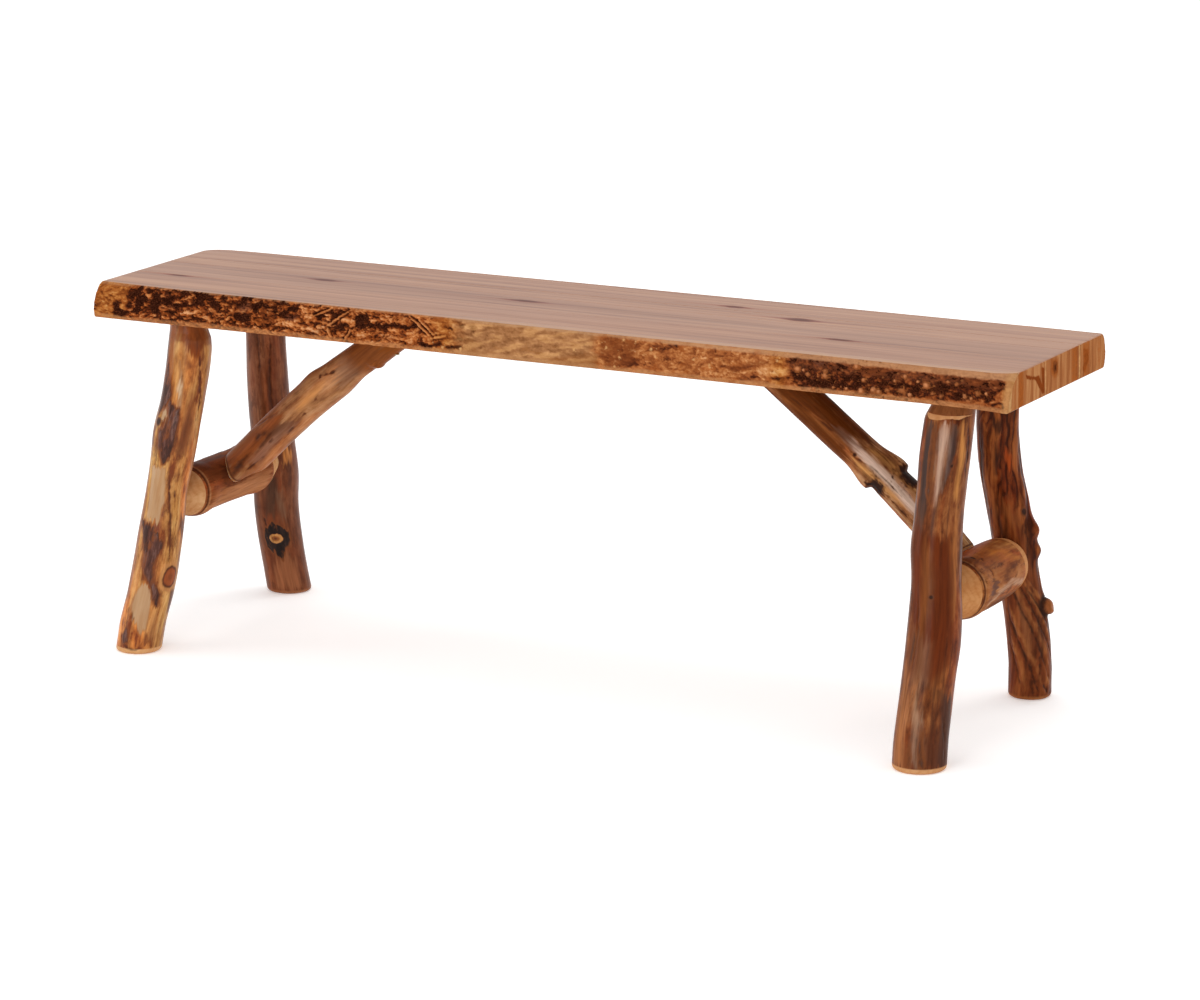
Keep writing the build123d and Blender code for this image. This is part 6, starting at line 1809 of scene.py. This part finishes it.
def live_rear(x, z):
    """The rear edge: the log's own rounded surface, debarked, with inner bark left in the hollows."""
    u, w = x, z - SEAT_U
    o = 0 * u
    wx = fbm(u / 30, w / 20, o, 160, 3)
    U, W = u + 6 * wx, w + 3 * fbm(u / 26 + 5, w / 15, o, 161, 3)
    n1 = fbm(U / 20, W / 9, o, 163, 4)
    n2 = fbm(U / 6, W / 3.4, o, 164, 3)
    big = fbm(u / 70, w / 30, o, 162, 3)
    f1, f2, rid, ox, oy = voronoi(U / 15, W / 9, 166)
    facet = (rid - 0.5) * 1.2 + (ox * np.cos(rid * 17) + oy * np.sin(rid * 17)) * 2.0
    cover = fbm(u / 110, o, o, 167, 2)
    h = 0.9 * big + 0.8 * n1 + 0.35 * n2 + 0.55 * facet
    P = np.zeros(u.shape + (4,))
    P[..., 0], P[..., 1], P[..., 2], P[..., 3] = 0.36, 0.140, 0.040, 1.0
    over(P, 0.65 * sstep(-0.12, 0.22, n1 + 0.4 * cover), (0.170, 0.048, 0.014))
    over(P, 0.55 * sstep(0.02, 0.30, -n1 + 0.4 * n2), (0.46, 0.200, 0.065))
    band = sstep(4, 9, w) * sstep(41.5, 36, w)
    dark = np.clip(0.30 + 0.75 * n1 + 0.35 * n2 + 0.55 * cover, 0, 1) * band
    dark = np.where(dark > 0.30, dark, dark * 0.4)
    h -= 1.0 * sstep(0.42, 0.62, dark)
    # painted shade in the hollows of the relief
    cav = np.clip((blur(h, 1) - h) / 0.8, -1, 1)
    over(P, 0.45 * np.clip(cav, 0, 1), (0.090, 0.028, 0.010))
    over(P, 0.75 * sstep(6.0, 3.0, w + 2.5 * wx), (0.520, 0.240, 0.085))
    return h, {"dark": np.clip(dark, 0, 1), "ltone": np.zeros(x.shape), "crack_and_shade": np.zeros(x.shape)}, P


# ---------------------------------------------------------------------------
# Build
# ---------------------------------------------------------------------------
GOLD = dict(deep=(0.155, 0.038, 0.008), mid=(0.440, 0.188, 0.050), light=(0.620, 0.335, 0.114), streak=(0.150, 0.040, 0.010), spec=0.10, coat=0.10, pale=(0.425, 0.265, 0.145))
BROWN = dict(deep=(0.070, 0.019, 0.007), mid=(0.160, 0.047, 0.018), light=(0.250, 0.088, 0.038), streak=(0.055, 0.019, 0.010), spec=0.06, coat=0.04)
RED = dict(deep=(0.060, 0.014, 0.004), mid=(0.165, 0.043, 0.012), light=(0.295, 0.102, 0.031), streak=(0.055, 0.018, 0.009), spec=0.05, coat=0.05)

m_fl = log_material("log_front_left", streak_amount=0.60, contrast=1.08, shift=(0.3, 0.1, 0.0), halo=(0.190, 0.050, 0.012),
                    bark=((0.022, 0.007, 0.004), (0.084, 0.027, 0.017), (0.196, 0.098, 0.076)), **GOLD)
m_rl = log_material("log_rear_left", streak_amount=0.6, contrast=0.8, shift=(0.9, 0.4, 0.2), warm=0.5, cut=(0.32, 0.13, 0.055),
                    bark=((0.010, 0.006, 0.005), (0.020, 0.011, 0.009), (0.045, 0.024, 0.019)), **BROWN)
m_fr = log_material("log_front_right", streak_amount=0.7, contrast=1.12, grain=0.62, blotch=1.05, shift=(1.7, 0.8, 0.1), warm=0.7, cut=(0.56, 0.285, 0.125),
                    bark=((0.030, 0.013, 0.009), (0.060, 0.028, 0.020), (0.120, 0.066, 0.050)), **RED)
m_rr = log_material("log_rear_right", streak_amount=0.6, contrast=1.0, shift=(2.3, 1.1, 0.5), rough=0.32, cut=(0.34, 0.130, 0.045), spec=0.03, coat=0.02,
                    deep=(0.048, 0.011, 0.004), mid=(0.132, 0.028, 0.007), light=(0.262, 0.072, 0.019), streak=(0.035, 0.010, 0.005))
m_kl = log_material("rail_left_wood", streak_amount=0.3, contrast=0.7, shift=(3.1, 0.6, 0.9), warm=0.6, cut=(0.57, 0.325, 0.156), spec=0.01, coat=0.0, rough=0.42,
                    deep=(0.125, 0.032, 0.010), mid=(0.238, 0.066, 0.022), light=(0.340, 0.118, 0.044), streak=(0.13, 0.036, 0.012))
m_kr = log_material("rail_right_wood", streak_amount=0.4, contrast=0.7, blotch=1.1, shift=(4.1, 1.6, 1.9), cut=(0.53, 0.245, 0.092), spec=0.01, coat=0.0, rough=0.42,
                    deep=(0.130, 0.034, 0.010), mid=(0.300, 0.095, 0.027), light=(0.430, 0.175, 0.060), streak=(0.10, 0.030, 0.010))
m_bl = log_material("brace_left_wood", streak_amount=0.35, contrast=0.75, shift=(5.1, 2.6, 0.9), warm=0.6, cut=(0.52, 0.270, 0.115), spec=0.03, coat=0.02, rough=0.40, fleck=0.30,
                    deep=(0.150, 0.048, 0.018), mid=(0.335, 0.143, 0.057), light=(0.470, 0.252, 0.122), streak=(0.14, 0.042, 0.014))
m_br = log_material("brace_right_wood", streak_amount=0.6, contrast=0.9, shift=(6.1, 3.6, 2.9), cut=(0.40, 0.180, 0.070), spec=0.02, coat=0.0, rough=0.40,
                    deep=(0.080, 0.022, 0.008), mid=(0.265, 0.105, 0.040), light=(0.450, 0.240, 0.120), streak=(0.075, 0.024, 0.010))

leg_fl = build_leg("log_leg_front_left", "leg_front_left", LEG_FL,
                   [(376, -500.9, -97.9, 27.6), (386, -501.3, -96.9, 26.2), (395, -502.9, -96.0, 24.0), (403, -503.8, -95.7, 22.6), (410, -504.1, -95.3, 22.0)],
                   (-500.0, -87.0), 11, marks_fl, m_fl, lump=1.1, neck_col=(0.210, 0.062, 0.018), neck_slope=0.35, rim=0.9)
leg_rl = build_leg("log_leg_rear_left", "leg_rear_left", LEG_RL,
                   [(385, -509.7, 94.6, 25.2), (398, -508.2, 92.4, 22.5), (410, -507.0, 90.0, 20.0)],
                   (-504.0, 84.2), 21, marks_rl, m_rl, twist=0.05, neck_col=(0.120, 0.042, 0.020), neck_slope=0.25, rim=0.5)
leg_fr = build_leg("log_leg_front_right", "leg_front_right", LEG_FR,
                   [(388.5, 520.3, -103.3, 29.6), (403, 522.6, -98.0, 25.8), (410, 522.9, -95.9, 25.4)],
                   (522.4, -89.0), 31, marks_fr, m_fr, facet=(386.0, 395.5, -68.0, 80.0), neck_col=(0.205, 0.072, 0.024), neck_al=0.8, rim=0.75)
leg_rr = build_leg("log_leg_rear_right", "leg_rear_right", LEG_RR,
                   [(385, 498.5, 88.5, 25.0), (398, 499.4, 87.2, 22.3), (410, 500.0, 86.0, 20.0)],
                   (500.6, 82.0), 41, marks_rr, m_rr, twist=-0.30, lump=0.9, ripple=0.5, fine=0.16, cav=0.9, neck_col=(0.110, 0.032, 0.012), neck_slope=0.3, rim=0.5)

rail_l, _ = build_rail("log_end_rail_left", "end_rail_left", RAIL_L_A, RAIL_L_B,
                       [(-80, 30.6), (-78.6, 31.2), (-40, 31.4), (0, 31.2), (45, 31.4), (82, 31.1), (84.5, 30.2)],
                       [(-81.4, 29.0), (-83.2, 29.6), (-113, 16.6)], [(86, 29.2), (118, 16.6)], 51, marks_rail_l, m_kl, (-146, 153))
rail_r, _ = build_rail("log_end_rail_right", "end_rail_right", RAIL_R_A, RAIL_R_B,
                       [(-83, 33.4), (-81.4, 34.1), (-50, 35.6), (-10, 36.3), (30, 35.8), (62, 34.2), (65, 33.9)],
                       [(-84.6, 31.8), (-86.6, 32.4), (-124, 17.0)], [(66, 33.8), (76, 32.0), (86, 28.4), (95, 23.0), (102, 17.0)], 61, marks_rail_r, m_kr, (-166, 135))
brace_l = build_brace("branch_brace_left", "brace_left", BRACE_L, 5.0, 71, marks_brace_l, m_bl, RAIL_L_A, RAIL_L_B, 31.2)
brace_r = build_brace("branch_brace_right", "brace_right", BRACE_R, 0.0, 76, marks_brace_r, m_br, RAIL_R_A, RAIL_R_B, 36.0)
trim_brace(brace_l, rail_l)
trim_brace(brace_r, rail_r)

# seat staves: dark elongated knots (x, y, half length, half width, strength, side) and darker lines (y, width, change, from, to)
m_edge = seat_material("plank_edges", (0.4, 0.9, 0.0), edge=True)
s1 = build_stave("seat_plank_front", "seat_stave_front", -140.0, SEAMS[0], seat_material("plank_wood_1", (0.0, 0.0, 0.0)), 71, live="front",
                 lines=[(-122, 1.4, -0.14, -520, -60), (-118, 1.0, -0.12, 100, 600)])
s2 = build_stave("seat_plank_2", "seat_stave_2", SEAMS[0], SEAMS[1], seat_material("plank_wood_2", (0.7, 0.13, 0.0), (1.02, 1.0, 0.98)), 72,
                 knots=[(-545, -50, 15, 5.0, 0.90, 1), (120, -84, 14, 4.0, 0.9, -1), (-330, -70, 10, 5.0, 0.9, -1)],
                 lines=[(-108, 1.6, -0.16, -560, -240), (-96, 1.2, -0.14, -380, 60), (-84, 1.8, -0.15, -100, 420), (-72, 1.3, -0.16, 120, 600), (-60, 1.5, -0.14, -420, 20),
                        (-53, 1.2, -0.18, -600, -420), (-66, 1.1, 0.12, -500, 500), (-90, 3.0, 0.10, 200, 600)])
s3 = build_stave("seat_plank_3", "seat_stave_3", SEAMS[1], SEAMS[2], seat_material("plank_wood_3", (1.9, 0.47, 0.0), (0.97, 0.97, 0.98)), 73,
                 knots=[(-368, 6, 20, 5.4, 0.92, 1), (-84, 0, 24, 5.4, 0.92, 1), (353, -41, 20, 4.8, 0.88, 1), (40, -10, 12, 4.5, 0.9, -1)],
                 lines=[(-38, 1.6, -0.22, 370, 560), (-30, 1.3, -0.16, -300, 200), (-18, 1.5, -0.17, -600, -300), (-8, 1.2, -0.16, 60, 480), (2, 1.6, -0.15, -60, 240),
                        (12, 1.4, -0.17, -560, -120), (18, 1.3, -0.14, 180, 600), (-24, 2.6, 0.10, -560, 0), (8, 2.6, 0.10, 250, 600)])
s4 = build_stave("seat_plank_4", "seat_stave_4", SEAMS[2], SEAMS[3], seat_material("plank_wood_4", (2.8, 0.81, 0.0), (1.03, 1.02, 1.0)), 74,
                 knots=[(261, 46, 20, 7.4, 1.0, 1)],
                 lines=[(50, 1.8, -0.20, 275, 420), (34, 1.4, -0.15, -480, -60), (42, 1.2, -0.16, -200, 200), (56, 1.5, -0.15, -560, -100), (32, 1.2, -0.14, 60, 460)])
s5 = build_stave("seat_plank_rear", "seat_stave_rear", SEAMS[3], 140.0, seat_material("plank_wood_5", (3.6, 1.23, 0.0), (0.98, 0.97, 0.97)), 75, live="rear",
                 knots=[(157, 83, 16, 5.2, 0.86, 1), (-200, 100, 12, 5.0, 0.9, -1)],
                 lines=[(70, 1.4, -0.14, -560, 80), (78, 1.2, -0.16, -120, 400), (90, 1.6, -0.16, -500, 60), (98, 1.2, -0.14, 100, 600), (108, 1.6, -0.15, -360, 260),
                        (118, 1.3, -0.14, -560, 0), (126, 1.4, -0.14, 40, 560), (84, 2.8, 0.10, 220, 600)])

for o in (leg_fl, leg_rl, leg_fr, leg_rr, rail_l, rail_r, brace_l, brace_r, s1, s2, s3, s4, s5):
    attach(o, "root")

# screws keep their CAD shape
N = Nodes("zinc_screw")
pos = N.t.nodes.new("ShaderNodeTexCoord").outputs["Object"]
n1 = N.noise(pos, 900, 3, 0.6)
N.put(N.bsdf.inputs["Base Color"], N.ramp(n1, [(0.3, (0.30, 0.25, 0.15)), (0.7, (0.55, 0.50, 0.36))]))
N.put(N.bsdf.inputs["Roughness"], N.m("MULTIPLY_ADD", n1, 0.3, 0.22))
N.bsdf.inputs["Metallic"].default_value = 1.0
for nm in ("brace_to_seat_screws", "brace_to_rail_screws", "rail_tenon_screws"):
    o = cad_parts[nm]
    o.data.materials.clear()
    o.data.materials.append(N.mat)

# ---------------------------------------------------------------------------
# Stage
# ---------------------------------------------------------------------------
sc = bpy.context.scene
sc.view_settings.view_transform = "Standard"
bm = bmesh.new()
bmesh.ops.create_circle(bm, cap_ends=True, cap_tris=False, segments=160, radius=1.7)
me = bpy.data.meshes.new("floor")
bm.to_mesh(me)
bm.free()
floor = bpy.data.objects.new("floor", me)
sc.collection.objects.link(floor)
N = Nodes("pale_floor")
N.bsdf.inputs["Base Color"].default_value = (0.98, 0.98, 0.98, 1)
N.bsdf.inputs["Roughness"].default_value = 0.95
N.bsdf.inputs["Specular IOR Level"].default_value = 0.0
N.bsdf.inputs["Emission Color"].default_value = (1, 1, 1, 1)
N.bsdf.inputs["Emission Strength"].default_value = 0.24
me.materials.append(N.mat)

# a studio with pale walls: bright low down all round, dimmer overhead
world = bpy.data.worlds.new("studio")
sc.world = world
world.use_nodes = True
wt = world.node_tree
bg = wt.nodes["Background"]
tc = wt.nodes.new("ShaderNodeTexCoord")
sx = wt.nodes.new("ShaderNodeSeparateXYZ")
wt.links.new(tc.outputs["Generated"], sx.inputs[0])
mr = wt.nodes.new("ShaderNodeMapRange")
mr.inputs["From Min"].default_value = -1.0
mr.inputs["From Max"].default_value = 1.0
wt.links.new(sx.outputs["Z"], mr.inputs["Value"])
cr = wt.nodes.new("ShaderNodeValToRGB")
lo, hi = cr.color_ramp.elements[0], cr.color_ramp.elements[1]
lo.position, lo.color = 0.5, (1.25, 1.25, 1.25, 1.0)
hi.position, hi.color = 1.0, (0.55, 0.55, 0.55, 1.0)
for p_, v_ in ((0.54, 1.15), (0.60, 0.85), (0.72, 0.62)):
    cr.color_ramp.elements.new(p_).color = (v_, v_, v_, 1.0)
wt.links.new(mr.outputs[0], cr.inputs[0])
wt.links.new(cr.outputs[0], bg.inputs[0])
bg.inputs[1].default_value = 1.0


def area(name, loc, aim, size, power, colour=(1, 1, 1)):
    l = bpy.data.lights.new(name, "AREA")
    l.shape = "RECTANGLE"
    l.size, l.size_y = size
    l.energy = power
    l.color = colour
    o = bpy.data.objects.new(name, l)
    sc.collection.objects.link(o)
    o.location = loc
    o.rotation_euler = (Vector(aim) - Vector(loc)).to_track_quat("-Z", "Y").to_euler()
    return o


area("front_box", (0.30, -3.30, 1.35), (0, 0, 0.25), (1.2, 1.6), 24)
area("left_box", (-2.90, -1.60, 0.95), (0, 0, 0.25), (0.9, 1.6), 12)
area("back_box", (1.60, 3.00, 1.60), (0, 0, 0.25), (1.6, 1.2), 16)
area("top_box", (0.0, 0.25, 3.4), (0, 0, 0.3), (4.0, 4.0), 62)

cam = bpy.data.cameras.new("camera")
cam.sensor_fit = "HORIZONTAL"
cam.sensor_width = 36.0
cam.lens = 147.44
cam.clip_end = 200
co = bpy.data.objects.new("camera", cam)
sc.collection.objects.link(co)
co.location = (2.6887, -5.1312 + 0.0101, 1.5763)
co.rotation_euler = (math.radians(90 - 13.231), 0, math.radians(27.4977))
sc.camera = co
